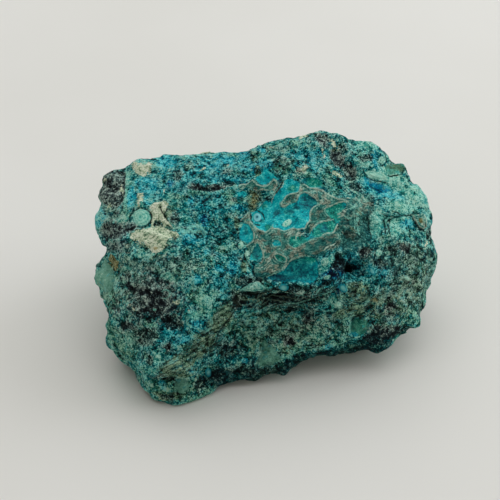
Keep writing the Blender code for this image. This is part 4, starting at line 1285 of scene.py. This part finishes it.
def grain_group():
    """Packed mineral grains: a tone that changes from grain to grain, their height, and a stray hue."""
    tree, w, start, end = new_group(
        "Packed grains",
        {"Place": "place", "Grains per mm": "number", "Contrast": "number"},
        {"Tone": "number", "Height": "number", "Stray": "number"},
    )
    place = start["Place"]
    scales = {name: w.times(start["Grains per mm"], finer) for name, finer in GRAIN_FINENESS.items()}
    shaken = w.shaken(place, scales["shake"], GRAIN_SHAKE, middle=0.5)
    coarse = w.node("ShaderNodeTexVoronoi", {"Vector": shaken, "Scale": start["Grains per mm"]}).outputs
    fine = w.node("ShaderNodeTexVoronoi", {"Vector": shaken, "Scale": scales["fine"]}).outputs
    chance = w.channels(coarse["Color"])
    cloud = w.noise(place, scales["cloud"], 4.0, 0.62)
    speck = w.noise(place, scales["speck"], 1.5)
    fold = w.maths("ABSOLUTE", w.off_middle(w.noise(shaken, scales["fold"], 1.0)))
    tones = {
        "coarse": w.off_middle(chance[0]),
        "fine": w.off_middle(w.channels(fine["Color"])[0]),
        "cloud": w.off_middle(cloud),
        "speck": w.off_middle(speck),
        "fold": w.maths("SUBTRACT", FOLD_WIDTH, fold),
    }
    tone = w.weighed(tones, GRAIN_TONES)
    w.feed(end["Tone"], w.maths("MULTIPLY_ADD", tone, start["Contrast"], 0.5))
    heights = {"coarse": coarse["Distance"], "fine": fine["Distance"], "speck": speck, "cloud": cloud}
    w.feed(end["Height"], w.weighed(heights, GRAIN_HEIGHTS))
    w.feed(end["Stray"], chance[1])
    return tree


def fleck_group():
    """Small stray flecks, some here and some there: 1 on a fleck, 0 off it."""
    tree, w, start, end = new_group(
        "Scattered flecks",
        {"Place": "place", "Flecks per mm": "number", "Share": "number", "Size": "number"},
        {"Mask": "number"},
    )
    scale = start["Flecks per mm"]
    shaken = w.shaken(start["Place"], w.times(scale, FLECK_FINENESS), FLECK_SHAKE)
    cells = w.node("ShaderNodeTexVoronoi", {"Vector": shaken, "Scale": scale}).outputs
    chance = w.channels(cells["Color"])
    size = w.times(start["Size"], w.add(chance[1], 0.5))
    spot = w.fall(w.maths("DIVIDE", cells["Distance"], size), 0.7, 1.1)
    w.feed(end["Mask"], w.times(spot, w.maths("LESS_THAN", chance[0], start["Share"])))
    return tree


def ragged_group():
    """A stain's depth turned into a mask with a ragged edge: 1 inside, 0 outside."""
    tree, w, start, end = new_group(
        "Ragged edge",
        {"Depth": "number", "Raggedness": "number", "Wander": "number", "Softness": "number"},
        {"Mask": "number"},
    )
    depth = w.add(start["Depth"], w.times(w.off_middle(start["Wander"]), start["Raggedness"]))
    low = w.maths("SUBTRACT", 0.5, start["Softness"])
    w.feed(end["Mask"], w.step(depth, low, w.add(0.5, start["Softness"])))
    return tree


def thread_group():
    """Fine wandering threads of a pale mineral."""
    tree, w, start, end = new_group(
        "Worm threads",
        {"Place": "place", "Threads per mm": "number", "Width": "number"},
        {"Mask": "number"},
    )
    wander = w.noise(start["Place"], start["Threads per mm"], 2.0, 0.55, 1.4)
    off = w.maths("ABSOLUTE", w.off_middle(wander))
    w.feed(end["Mask"], w.fall(off, w.times(start["Width"], 0.35), start["Width"]))
    return tree


SHADE_NAMES = ("Deepest", "Dark", "Middle", "Light", "Crest")


def palette_group():
    """A mineral's own run of colours, from its deepest shade to its crest, picked by tone."""
    tree, w, start, end = new_group(
        "Mineral colours",
        {"Tone": "number", **{name: "colour" for name in SHADE_NAMES}},
        {"Colour": "colour"},
    )
    steps = len(SHADE_NAMES) - 1
    colour = start[SHADE_NAMES[0]]
    for index, name in enumerate(SHADE_NAMES[1:]):
        ends = {"Value": start["Tone"], "From Min": index / steps, "From Max": (index + 1) / steps}
        colour = w.blend(w.node("ShaderNodeMapRange", ends).outputs[0], colour, start[name])
    w.feed(end["Colour"], colour)
    return tree


# Each mineral's shades, from the deepest to the crest.
TEAL = ((2, 18, 22), (0, 60, 68), (2, 112, 118), (34, 168, 162), (160, 226, 210))
SEA = ((2, 22, 30), (0, 64, 78), (0, 122, 134), (10, 174, 182), (124, 222, 218))
GREEN = ((6, 18, 14), (14, 58, 46), (34, 104, 84), (80, 160, 130), (164, 214, 182))
CYAN = ((2, 26, 38), (0, 84, 108), (0, 144, 166), (14, 188, 202), (120, 224, 224))
BLUE = ((4, 14, 34), (2, 46, 86), (2, 94, 138), (10, 152, 186), (110, 210, 216))
OLIVE = ((12, 17, 11), (34, 50, 34), (64, 88, 62), (100, 130, 96), (158, 182, 144))
GREY = ((12, 18, 17), (32, 54, 48), (66, 104, 92), (112, 156, 138), (186, 216, 196))
SLATE = ((6, 12, 16), (28, 44, 52), (58, 88, 94), (100, 140, 142), (176, 214, 208))
DARK = ((5, 7, 9), (16, 22, 24), (40, 56, 56), (100, 138, 128), (196, 218, 200))
PLUM = ((9, 10, 13), (27, 30, 35), (55, 60, 65), (94, 106, 105), (184, 200, 188))
MINT = ((8, 52, 50), (18, 116, 108), (50, 166, 152), (102, 200, 180), (182, 230, 208))
SOFT_GREEN = ((36, 72, 60), (66, 116, 98), (100, 156, 136), (132, 184, 162), (180, 214, 192))
POOL = ((1, 70, 84), (0, 118, 132), (0, 158, 168), (10, 182, 186), (96, 218, 210))
DEEP_POOL = ((1, 38, 52), (1, 64, 80), (1, 94, 104), (6, 120, 126), (40, 160, 154))
GREEN_POOL = ((1, 56, 54), (1, 90, 82), (4, 124, 112), (26, 158, 140), (120, 204, 180))
TAN = ((24, 38, 34), (58, 82, 74), (104, 122, 106), (152, 160, 140), (204, 210, 190))
CRUST_TEAL = ((4, 40, 42), (6, 74, 76), (26, 112, 104), (76, 156, 142), (172, 214, 194))
WEB = ((6, 28, 28), (16, 62, 60), (44, 102, 96), (90, 146, 134), (166, 202, 184))
CLAY = ((60, 86, 66), (120, 150, 120), (176, 196, 162), (212, 222, 190), (230, 234, 212))
OCHRE = ((28, 27, 12), (60, 56, 25), (102, 94, 44), (142, 130, 74), (186, 176, 124))
# Threads, stripes, lines and the painted shadow under the hem.
PALE_THREAD, PALE_STRIPE = (196, 234, 216), (128, 158, 134)
HEM_SHADOW_BLACK, DARK_STRIPE, CRACK = (4, 14, 18), (12, 20, 18), (10, 20, 22)
CREAM, MINT_CREAM, BAND_TEAL = (190, 212, 192), (150, 214, 192), (40, 118, 110)
MINT_LINE = (140, 216, 196)
TURQUOISE_MIDDLE, TURQUOISE_EDGE = (134, 220, 214), (10, 146, 160)
# The rings of the eye, from its middle outwards.
EYE = (
    (0.0, (16, 84, 98)),
    (0.12, (24, 104, 114)),
    (0.2, (110, 192, 200)),
    (0.4, (140, 214, 216)),
    (0.5, (50, 140, 150)),
)

# The finish's noises: how fine each is, a mm, its detail and its roughness.
NOISES = {
    "wander": (1.1, 4.0, 0.6),
    "drift": (0.3, 3.0, 0.55),
    "other drift": (0.25, 4.0, 0.6),
    "jitter": (2.0, 2.0, 0.6),
    "threads": (0.5, 3.0),
    "pits": (0.6, 3.0),
    "gaps": (0.45, 2.0),
    "slate": (0.45, 4.0, 0.6),
    "moss": (0.4, 4.0, 0.6),
    "fibres": (0.7, 2.0),
    "green crust": (0.55, 3.0),
    "glass": (0.7, 4.0, 0.55),
    "rims": (0.8, 2.0),
    "clay streaks": (1.5, 3.0, 0.6),
    "lines": (1.1, 3.0),
    "fine bumps": (4.0, 3.0, 0.6),
}
GRAINS_PER_MM = 1.15
# How far noise moves the borders of pools, crust and bands, in pixels.
JITTER, POOL_WANDER, CRUST_WANDER, BAND_WANDER = 2.6, 2.2, 2.6, 1.6
# How closely the stripes of layers, crust fibres and bands follow one another, and how far layers wander.
LAYER_STRIPES, CRUST_STRIPES, BAND_STRIPES, LAYER_WANDER = 5.2, 2.6, 2.4, 0.9

# Nodules with dark gaps between them: how many a mm, how far noise moves them, how dark the gaps are.
NODULES_PER_MM, NODULE_FINENESS, NODULE_SHAKE, GAP_DARKNESS = 0.42, 0.9, 1.6, -0.32
# Threads: how many a mm and how strong. Flecks: how many a mm, what share of them shows and how strong.
THREADS, THREAD_WIDTH = {"pale": (0.8, 0.4), "pale, elsewhere": (1.3, 0.3), "dark": (1.1, -0.38)}, 0.1
FLECKS, FLECK_SIZE = {"pale": (0.8, 0.35, 0.45), "dark": (0.75, 0.3, -0.35)}, 0.2

# The stone's middle tone, and what each thing adds to it or takes off it: painted light and paler rock add,
# painted shade takes off, hollows darken and crests lighten as painted shade and light.
MIDDLE_TONE, DRIFT_TONE, LIT_AND_PALE_TONE, MINT_TONE = 0.41, 0.35, 0.2, 0.12
DARK_TONE, PLUM_SHARE, SHADE_TONE, HOLLOW_SHADE_TONE = 0.13, 0.4, 0.3, 0.2
# How much of the grains' contrast is left on smooth minerals, in the grey web and on the crust.
SMOOTH_CONTRAST, WEB_CONTRAST, CRUST_CONTRAST = 0.3, 0.58, 0.42

# The stains laid over the rock in turn: shades, how ragged the edge is, and how well it covers.
ROCK_STAINS = (
    ("sea", SEA, 1.6, 0.9),
    ("green", GREEN, 1.2, 0.85),
    ("cyan", CYAN, 1.1, 0.95),
    ("deep_blue", BLUE, 1.0, 0.9),
    ("olive", OLIVE, 1.0, 0.85),
    ("grey", GREY, 1.3, 0.7),
    ("soft_green", SOFT_GREEN, 0.8, 0.95),
)
ROCK_SOFTNESS, DARK_COVER = 0.18, 0.7
# How much lighter than the rock these are laid.
DARK_LIFT, PLUM_LIFT, CRUST_LIFT, CLAY_LIFT, BAND_LIFT, BEAD_LIFT = 0.04, 0.08, 0.1, 0.18, 0.24, 0.5

# Rough rock and glossier glass, a thin soft coat on the glass alone, and the fine bumps.
ROCK_ROUGHNESS, GLASS_ROUGHNESS, GLASS_COAT, COAT_ROUGHNESS, SPECULAR_LEVEL = 0.76, 0.45, 0.06, 0.25, 0.05
FINE_BUMPS, BUMP_STRENGTH, BUMP_HEIGHT = 0.35, 0.9, 0.8 * MM


class StonePaint:
    """What every layer of colour is mixed from: the wiring, the noises, the grains and their tone."""

    def __init__(self, tree, groups):
        self.wiring, self.groups = Wiring(tree), groups
        w = self.wiring
        place = w.node("ShaderNodeTexCoord").outputs["Object"]
        in_mm = {"Vector": place, "Scale": (1 / MM, 1 / MM, 1 / MM)}
        self.place = w.node("ShaderNodeMapping", in_mm).outputs[0]
        self.elsewhere = w.node("ShaderNodeMapping", {"Vector": self.place, "Location": (7, 3, 5)}).outputs[0]
        self.wander = self.noise("wander")
        self.drift = self.noise("drift")
        self.other_drift = self.noise("other drift", elsewhere=True)
        self.grains = w.group(groups["grains"], Place=self.place, Grains_per_mm=GRAINS_PER_MM, Contrast=1.0)
        self.dark, self.mint = self.mask("dark", 1.4, 0.22), self.mask("mint", 1.2, 0.3)
        self.plum = self.mask("plum", 1.5, 0.25)
        self.tone = self.laid_tone()
        self.jitter = w.times(w.off_middle(self.noise("jitter", elsewhere=True)), JITTER)
        self.pool_edge = w.add(self.strayed("pool", POOL_WANDER), self.jitter)
        self.pool = w.step(self.pool_edge, -0.3, 0.4)

    def noise(self, name, elsewhere=False):
        return self.wiring.noise(self.elsewhere if elsewhere else self.place, *NOISES[name])

    def strayed(self, name, pixels):
        """How far inside an outline a point lies, in pixels, with the outline moved about by noise."""
        w = self.wiring
        return w.add(w.field(name), w.times(w.off_middle(self.wander), pixels))

    def mask(self, name, raggedness, softness, stray=0.0):
        """A mineral's own area, with a ragged edge."""
        depth, settings = self.wiring.field(name), {"Raggedness": raggedness, "Softness": softness}
        if stray:
            depth = self.wiring.add(depth, self.wiring.times(self.jitter, stray))
        return self.wiring.group(self.groups["ragged"], Depth=depth, Wander=self.wander, **settings)["Mask"]

    def colours(self, shades, tone):
        """A mineral's colours at this tone."""
        named = {name: tint(*shade) for name, shade in zip(SHADE_NAMES, shades)}
        return self.wiring.group(self.groups["palette"], Tone=tone, **named)["Colour"]

    def fine_marks(self):
        """Pale threads and flecks above nought, dark pits and specks below it."""
        w = self.wiring
        patchy = w.step(self.noise("threads"), 0.36, 0.56, 0.2, 1.0)
        pitted = w.step(self.noise("pits", elsewhere=True), 0.58, 0.42)
        cells = {"Vector": w.shaken(self.place, NODULE_FINENESS, NODULE_SHAKE), "Scale": NODULES_PER_MM}
        nodules = w.node("ShaderNodeTexVoronoi", cells, feature="DISTANCE_TO_EDGE").outputs["Distance"]
        gaps = w.fall(nodules, 0.01, 0.05)
        marks = w.times(w.times(gaps, w.step(self.noise("gaps", elsewhere=True), 0.4, 0.55)), GAP_DARKNESS)
        for (rate, strength), at, where in zip(
            THREADS.values(), (self.place, self.elsewhere, self.elsewhere), (patchy, patchy, pitted)
        ):
            mark = w.group(self.groups["threads"], Place=at, Threads_per_mm=rate, Width=THREAD_WIDTH)["Mask"]
            marks = w.add(marks, w.times(mark, w.times(where, strength)))
        for (rate, share, strength), at in zip(FLECKS.values(), (self.place, self.elsewhere)):
            settings = {"Flecks per mm": rate, "Share": share, "Size": FLECK_SIZE}
            mark = w.group(self.groups["flecks"], Place=at, **settings)["Mask"]
            marks = w.add(marks, w.times(mark, strength))
        return marks

    def laid_tone(self):
        """The grains' tone: darker in dark minerals, under painted shade and in hollows as painted shade,
        lighter on mint, under painted light and on crests, calmer on smooth skins.
        """
        w = self.wiring
        tone = w.add(self.grains["Tone"], w.times(w.off_middle(self.drift), DRIFT_TONE))
        tone = w.add(w.off_middle(tone), self.fine_marks())
        tone = w.times(tone, w.step(w.field("smooth"), 0.35, 0.65, 1.0, SMOOTH_CONTRAST))
        tone = w.times(tone, w.step(w.field("web_grey"), 0.2, 0.7, 1.0, WEB_CONTRAST))
        tone = w.times(tone, w.step(w.field("crust"), -1.5, 0.5, 1.0, CRUST_CONTRAST))
        tone = w.add(tone, MIDDLE_TONE)
        dark = w.most(self.dark, w.times(self.plum, PLUM_SHARE))
        tone = w.maths("SUBTRACT", tone, w.times(dark, DARK_TONE))
        tone = w.add(tone, w.times(self.mint, MINT_TONE))
        tone = w.add(tone, w.times(w.field("pale"), LIT_AND_PALE_TONE))
        shade = w.most(w.field("shade"), w.field("undershade"))
        tone = w.maths("SUBTRACT", tone, w.times(shade, SHADE_TONE))
        return w.maths("SUBTRACT", tone, w.times(w.field("hollow"), HOLLOW_SHADE_TONE), clamp=True)


def rock_colours(paint):
    """The grainy rock under everything: teal, sea blue and green, and the stains laid over them."""
    w, tone = paint.wiring, paint.tone
    stray = paint.grains["Stray"]
    colour = paint.colours(TEAL, tone)
    colour = w.blend(w.step(paint.other_drift, 0.5, 0.62, 0.0, 0.7), colour, paint.colours(GREEN, tone))
    for name, shades, raggedness, cover in ROCK_STAINS:
        stained = w.times(paint.mask(name, raggedness, ROCK_SOFTNESS), cover)
        colour = w.blend(stained, colour, paint.colours(shades, tone))
    slate = w.step(paint.noise("slate"), 0.5, 0.62, 0.0, 0.5)
    slate = w.times(slate, w.flip(w.most(w.field("pale"), w.field("cyan"))))
    mossy = w.step(paint.noise("moss", elsewhere=True), 0.53, 0.64, 0.0, 0.5)
    for share, shades, lift in (
        (slate, SLATE, 0.0),
        (mossy, GREEN, 0.0),
        (w.step(stray, 0.82, 0.9, 0.0, 0.3), GREY, 0.0),
        (w.step(stray, 0.22, 0.12, 0.0, 0.4), SEA, 0.0),
        (w.times(paint.mint, DARK_COVER), MINT, 0.0),
        # Dark and plum stand partly for painted shade, where their patches lie in shaded places.
        (w.times(paint.dark, DARK_COVER), DARK, DARK_LIFT),
        (w.times(paint.plum, DARK_COVER), PLUM, PLUM_LIFT),
    ):
        colour = w.blend(share, colour, paint.colours(shades, w.add(tone, lift)))
    return colour


def layer_stripes(paint, colour):
    """Pale and dark stripes where the rock lies in thin layers."""
    w = paint.wiring
    layered = paint.mask("layered", 0.5, 0.1)
    phase = w.add(w.field("layers"), w.times(paint.wander, LAYER_WANDER))
    stripes = w.maths("SINE", w.times(phase, LAYER_STRIPES))
    colour = w.blend(w.times(layered, w.step(stripes, 0.55, 1.0, 0.0, 0.4)), colour, tint(*PALE_STRIPE))
    return w.blend(w.times(layered, w.step(stripes, -0.5, -1.0, 0.0, 0.7)), colour, tint(*DARK_STRIPE))


def crust_colours(paint, colour):
    """The glassy pools, and the tan crust and grey web between them."""
    w = paint.wiring
    web = w.times(paint.mask("web_grey", 1.2, 0.25), w.flip(paint.pool))
    colour = w.blend(w.times(web, 0.75), colour, paint.colours(WEB, paint.tone))
    tan = w.times(paint.mask("tan", 0.9, 0.15), w.flip(paint.pool))
    depth = w.add(paint.strayed("crust", CRUST_WANDER), paint.jitter)
    fibres = w.maths("SINE", w.times(depth, CRUST_STRIPES))
    fibres = w.times(fibres, w.step(paint.noise("fibres"), 0.4, 0.6, 0.05, 0.22))
    crust_tone = w.add(w.add(paint.tone, CRUST_LIFT), fibres)
    crust_colour = paint.colours(TAN, crust_tone)
    greener = w.step(paint.noise("green crust", elsewhere=True), 0.4, 0.53, 0.0, 0.9)
    crust_colour = w.blend(greener, crust_colour, paint.colours(CRUST_TEAL, crust_tone))
    crust_colour = w.blend(w.times(web, 0.25), crust_colour, paint.colours(WEB, paint.tone))
    crust = w.step(depth, -0.4, 0.4)
    colour = w.blend(w.times(w.most(crust, tan), 0.9), colour, crust_colour)

    tone = w.times(paint.noise("glass"), 1.3)
    tone = w.add(tone, w.times(w.off_middle(paint.grains["Tone"]), 0.8))
    tone = w.maths("SUBTRACT", tone, w.step(paint.pool_edge, 3.5, 0.3, 0.05, 0.1))
    # Painted shade darkens the pools too.
    tone = w.maths("SUBTRACT", tone, w.times(w.field("shade"), 0.35), clamp=True)
    glass = paint.colours(POOL, tone)
    glass = w.blend(paint.mask("green_pool", 0.5, 0.2), glass, paint.colours(GREEN_POOL, tone))
    glass = w.blend(paint.mask("deep_pool", 0.5, 0.2), glass, paint.colours(DEEP_POOL, tone))
    colour = w.blend(paint.pool, colour, glass)

    rim = w.fall(w.maths("ABSOLUTE", w.add(paint.pool_edge, 0.5)), 0.2, 0.8)
    rim = w.times(rim, w.step(w.field("crust"), -2.2, -0.8))
    rim = w.times(rim, w.step(paint.noise("rims", elsewhere=True), 0.38, 0.6, 0.1, 0.7))
    return w.blend(rim, colour, tint(*MINT_CREAM))


def clay_colours(paint, colour):
    """Pale clay, ochre stains, and the minerals that lie in bands one inside another."""
    w, tone = paint.wiring, paint.tone
    along = {"Vector": paint.place, "Rotation": (0, 0, 0.7), "Scale": (0.5, 1.9, 1.2)}
    streaks = w.noise(w.node("ShaderNodeMapping", along).outputs[0], *NOISES["clay streaks"])
    clay_tone = w.maths("SUBTRACT", w.add(tone, CLAY_LIFT), w.step(streaks, 0.5, 0.38, 0.0, 0.5))
    colour = w.blend(paint.mask("clay", 1.6, 0.06, stray=0.2), colour, paint.colours(CLAY, clay_tone))
    colour = w.blend(w.times(paint.mask("ochre", 0.6, 0.15), 0.85), colour, paint.colours(OCHRE, tone))
    depth = paint.strayed("bands", BAND_WANDER)
    inside = w.step(depth, -0.3, 0.5)
    colour = w.blend(w.times(inside, 0.7), colour, paint.colours(MINT, w.add(tone, BAND_LIFT)))
    stripes = w.maths("SINE", w.times(depth, BAND_STRIPES))
    colour = w.blend(w.times(inside, w.step(stripes, 0.1, 0.9, 0.0, 0.3)), colour, tint(*PALE_THREAD))
    return w.blend(w.times(inside, w.step(stripes, -0.3, -0.9, 0.0, 0.25)), colour, tint(*BAND_TEAL))


def line_colours(paint, colour):
    """Cream lines and dark cracks, each drawn unevenly along its run, and fainter in the grainy rock."""
    w = paint.wiring
    in_crust = w.step(w.most(w.field("crust"), w.field("pool")), -5.0, -1.5, 0.85, 1.0)
    pale = w.blend(w.step(in_crust, 0.85, 0.98), tint(*MINT_LINE), tint(*CREAM))
    for name, by, shade, strength, faintest in (
        ("cream", paint.elsewhere, pale, w.times(in_crust, 0.85), 0.15),
        ("crack", paint.place, tint(*CRACK), 0.9, 0.5),
    ):
        side = w.maths("ABSOLUTE", w.add(w.field(name + "_side"), w.times(paint.jitter, 0.4)))
        near = w.fall(w.field(name + "_near"), 1.8, 2.6)
        line = w.times(w.fall(side, 0.25, 0.65), near)
        uneven = w.step(w.noise(by, *NOISES["lines"]), 0.38, 0.56, faintest, 1.0)
        colour = w.blend(w.times(w.times(line, uneven), strength), colour, shade)
    return colour


def bead_colours(paint, colour):
    """The eye in the crust and the small white and turquoise nodules."""
    w = paint.wiring
    eye, white, turquoise = w.field("eye"), w.field("white"), w.field("turquoise")
    eye_colour = w.ramp(w.times(eye, 0.5), [(place, tint(*shade)) for place, shade in EYE])
    colour = w.blend(w.fall(eye, 0.9, 1.1), colour, eye_colour)
    white_colour = paint.colours(MINT, w.add(paint.tone, BEAD_LIFT))
    colour = w.blend(w.step(white, 0.85, 1.1, 0.95, 0.0), colour, white_colour)
    bead = w.blend(w.step(turquoise, 0.2, 0.9), tint(*TURQUOISE_MIDDLE), tint(*TURQUOISE_EDGE))
    return w.blend(w.fall(turquoise, 0.85, 1.1), colour, bead)


def chrysocolla_finish(groups):
    """The whole stone: grains in every zone's own colours, glassy pools, crust, clay, lines and beads."""
    material = bpy.data.materials.new("chrysocolla")
    material.use_nodes = True
    tree = material.node_tree
    surface = tree.nodes["Principled BSDF"].inputs
    paint = StonePaint(tree, groups)
    w = paint.wiring
    colour = layer_stripes(paint, rock_colours(paint))
    colour = crust_colours(paint, colour)
    colour = clay_colours(paint, colour)
    colour = line_colours(paint, bead_colours(paint, colour))
    # Painted shadow under the hem: the foot of the front is mixed towards near black.
    colour = w.blend(w.times(w.field("undershade"), 0.6), colour, tint(*HEM_SHADOW_BLACK))
    w.feed(surface["Base Color"], colour)

    w.feed(surface["Roughness"], w.step(paint.pool, 0.0, 1.0, ROCK_ROUGHNESS, GLASS_ROUGHNESS))
    w.feed(surface["Coat Weight"], w.times(paint.pool, GLASS_COAT))
    surface["Coat Roughness"].default_value = COAT_ROUGHNESS
    surface["Specular IOR Level"].default_value = SPECULAR_LEVEL

    height = w.add(paint.grains["Height"], w.times(paint.noise("fine bumps"), FINE_BUMPS))
    flat = w.most(paint.pool, w.times(w.field("smooth"), 0.8))
    flat = w.most(flat, w.times(paint.mask("clay", 0.6, 0.06), 0.5))
    height = w.times(height, w.maths("SUBTRACT", 1.0, w.times(flat, FULL_CALM)))
    bump = {"Strength": BUMP_STRENGTH, "Distance": BUMP_HEIGHT, "Height": height}
    w.feed(surface["Normal"], w.node("ShaderNodeBump", bump).outputs[0])
    return material


FLOOR_SIDE = 4.0
FLOOR_TINTS, FLOOR_CLOUDS, FLOOR_ROUGHNESS = ((228, 223, 217), (234, 229, 224)), (6.0, 3.0), 0.85


def floor_finish():
    """Pale matt paper, a little uneven."""
    material = bpy.data.materials.new("paper")
    material.use_nodes = True
    w = Wiring(material.node_tree)
    place = w.node("ShaderNodeTexCoord").outputs["Object"]
    cloud = w.step(w.noise(place, *FLOOR_CLOUDS), 0.3, 0.7)
    surface = material.node_tree.nodes["Principled BSDF"].inputs
    w.feed(surface["Base Color"], w.blend(cloud, *(tint(*shade) for shade in FLOOR_TINTS)))
    surface["Roughness"].default_value = FLOOR_ROUGHNESS
    return material


# ---------------------------------------------------------------- the stone and the studio

stone = even_skin("stone")
stone.name = "chrysocolla_stone"
dress_skin(stone)
groups = {
    "grains": grain_group(),
    "ragged": ragged_group(),
    "threads": thread_group(),
    "flecks": fleck_group(),
    "palette": palette_group(),
}
stone.data.materials.clear()
stone.data.materials.append(chrysocolla_finish(groups))
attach(stone, "root")
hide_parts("stone")


def flat_sheet(name, side):
    """A square sheet that lies on the table's height, its middle under the stone."""
    sheet = bmesh.new()
    bmesh.ops.create_grid(sheet, x_segments=1, y_segments=1, size=side / 2)
    mesh = bpy.data.meshes.new(name)
    sheet.to_mesh(mesh)
    sheet.free()
    made = bpy.data.objects.new(name, mesh)
    bpy.context.scene.collection.objects.link(made)
    return made


floor = flat_sheet("floor", FLOOR_SIDE)
floor.data.materials.append(floor_finish())


def aim(thing, at):
    """Turns a light or a camera to face a point."""
    thing.rotation_mode = "QUATERNION"
    thing.rotation_quaternion = (Vector(at) - thing.location).to_track_quat("-Z", "Y")


class Softbox(NamedTuple):
    """A square lamp over the table: its place and its side in metres."""

    name: str
    place: tuple
    side: float
    watts: float


SOFTBOXES = [
    Softbox("overhead", (0.10, 0.48, 0.90), 2.0, 12.1),
    Softbox("side", (0.90, 0.20, 0.40), 0.8, 3.5),
]
STONE_MIDDLE = (0, 0, 0.02)
LAMP_TINT, ROOM_TINT, ROOM_LIGHT = (244, 251, 255), (240, 240, 232), 0.38

for softbox in SOFTBOXES:
    light = bpy.data.lights.new(softbox.name, "AREA")
    light.shape = "SQUARE"
    light.size = softbox.side
    light.energy = softbox.watts
    light.color = tint(*LAMP_TINT)[:3]
    lamp = bpy.data.objects.new(softbox.name, light)
    lamp.location = softbox.place
    aim(lamp, STONE_MIDDLE)
    bpy.context.scene.collection.objects.link(lamp)

world = bpy.data.worlds.new("studio")
world.use_nodes = True
world.node_tree.nodes["Background"].inputs["Color"].default_value = tint(*ROOM_TINT)
world.node_tree.nodes["Background"].inputs["Strength"].default_value = ROOM_LIGHT
bpy.context.scene.world = world
bpy.context.scene.view_settings.view_transform = "Standard"

lens = bpy.data.cameras.new("camera")
lens.lens = LENS_MM
lens.sensor_width = FILM_MM
lens.clip_start = 10 * MM
camera = bpy.data.objects.new("camera", lens)
camera.location = CAMERA_AIM + TO_CAMERA * CAMERA_REACH
aim(camera, CAMERA_AIM)
bpy.context.scene.collection.objects.link(camera)
bpy.context.scene.camera = camera
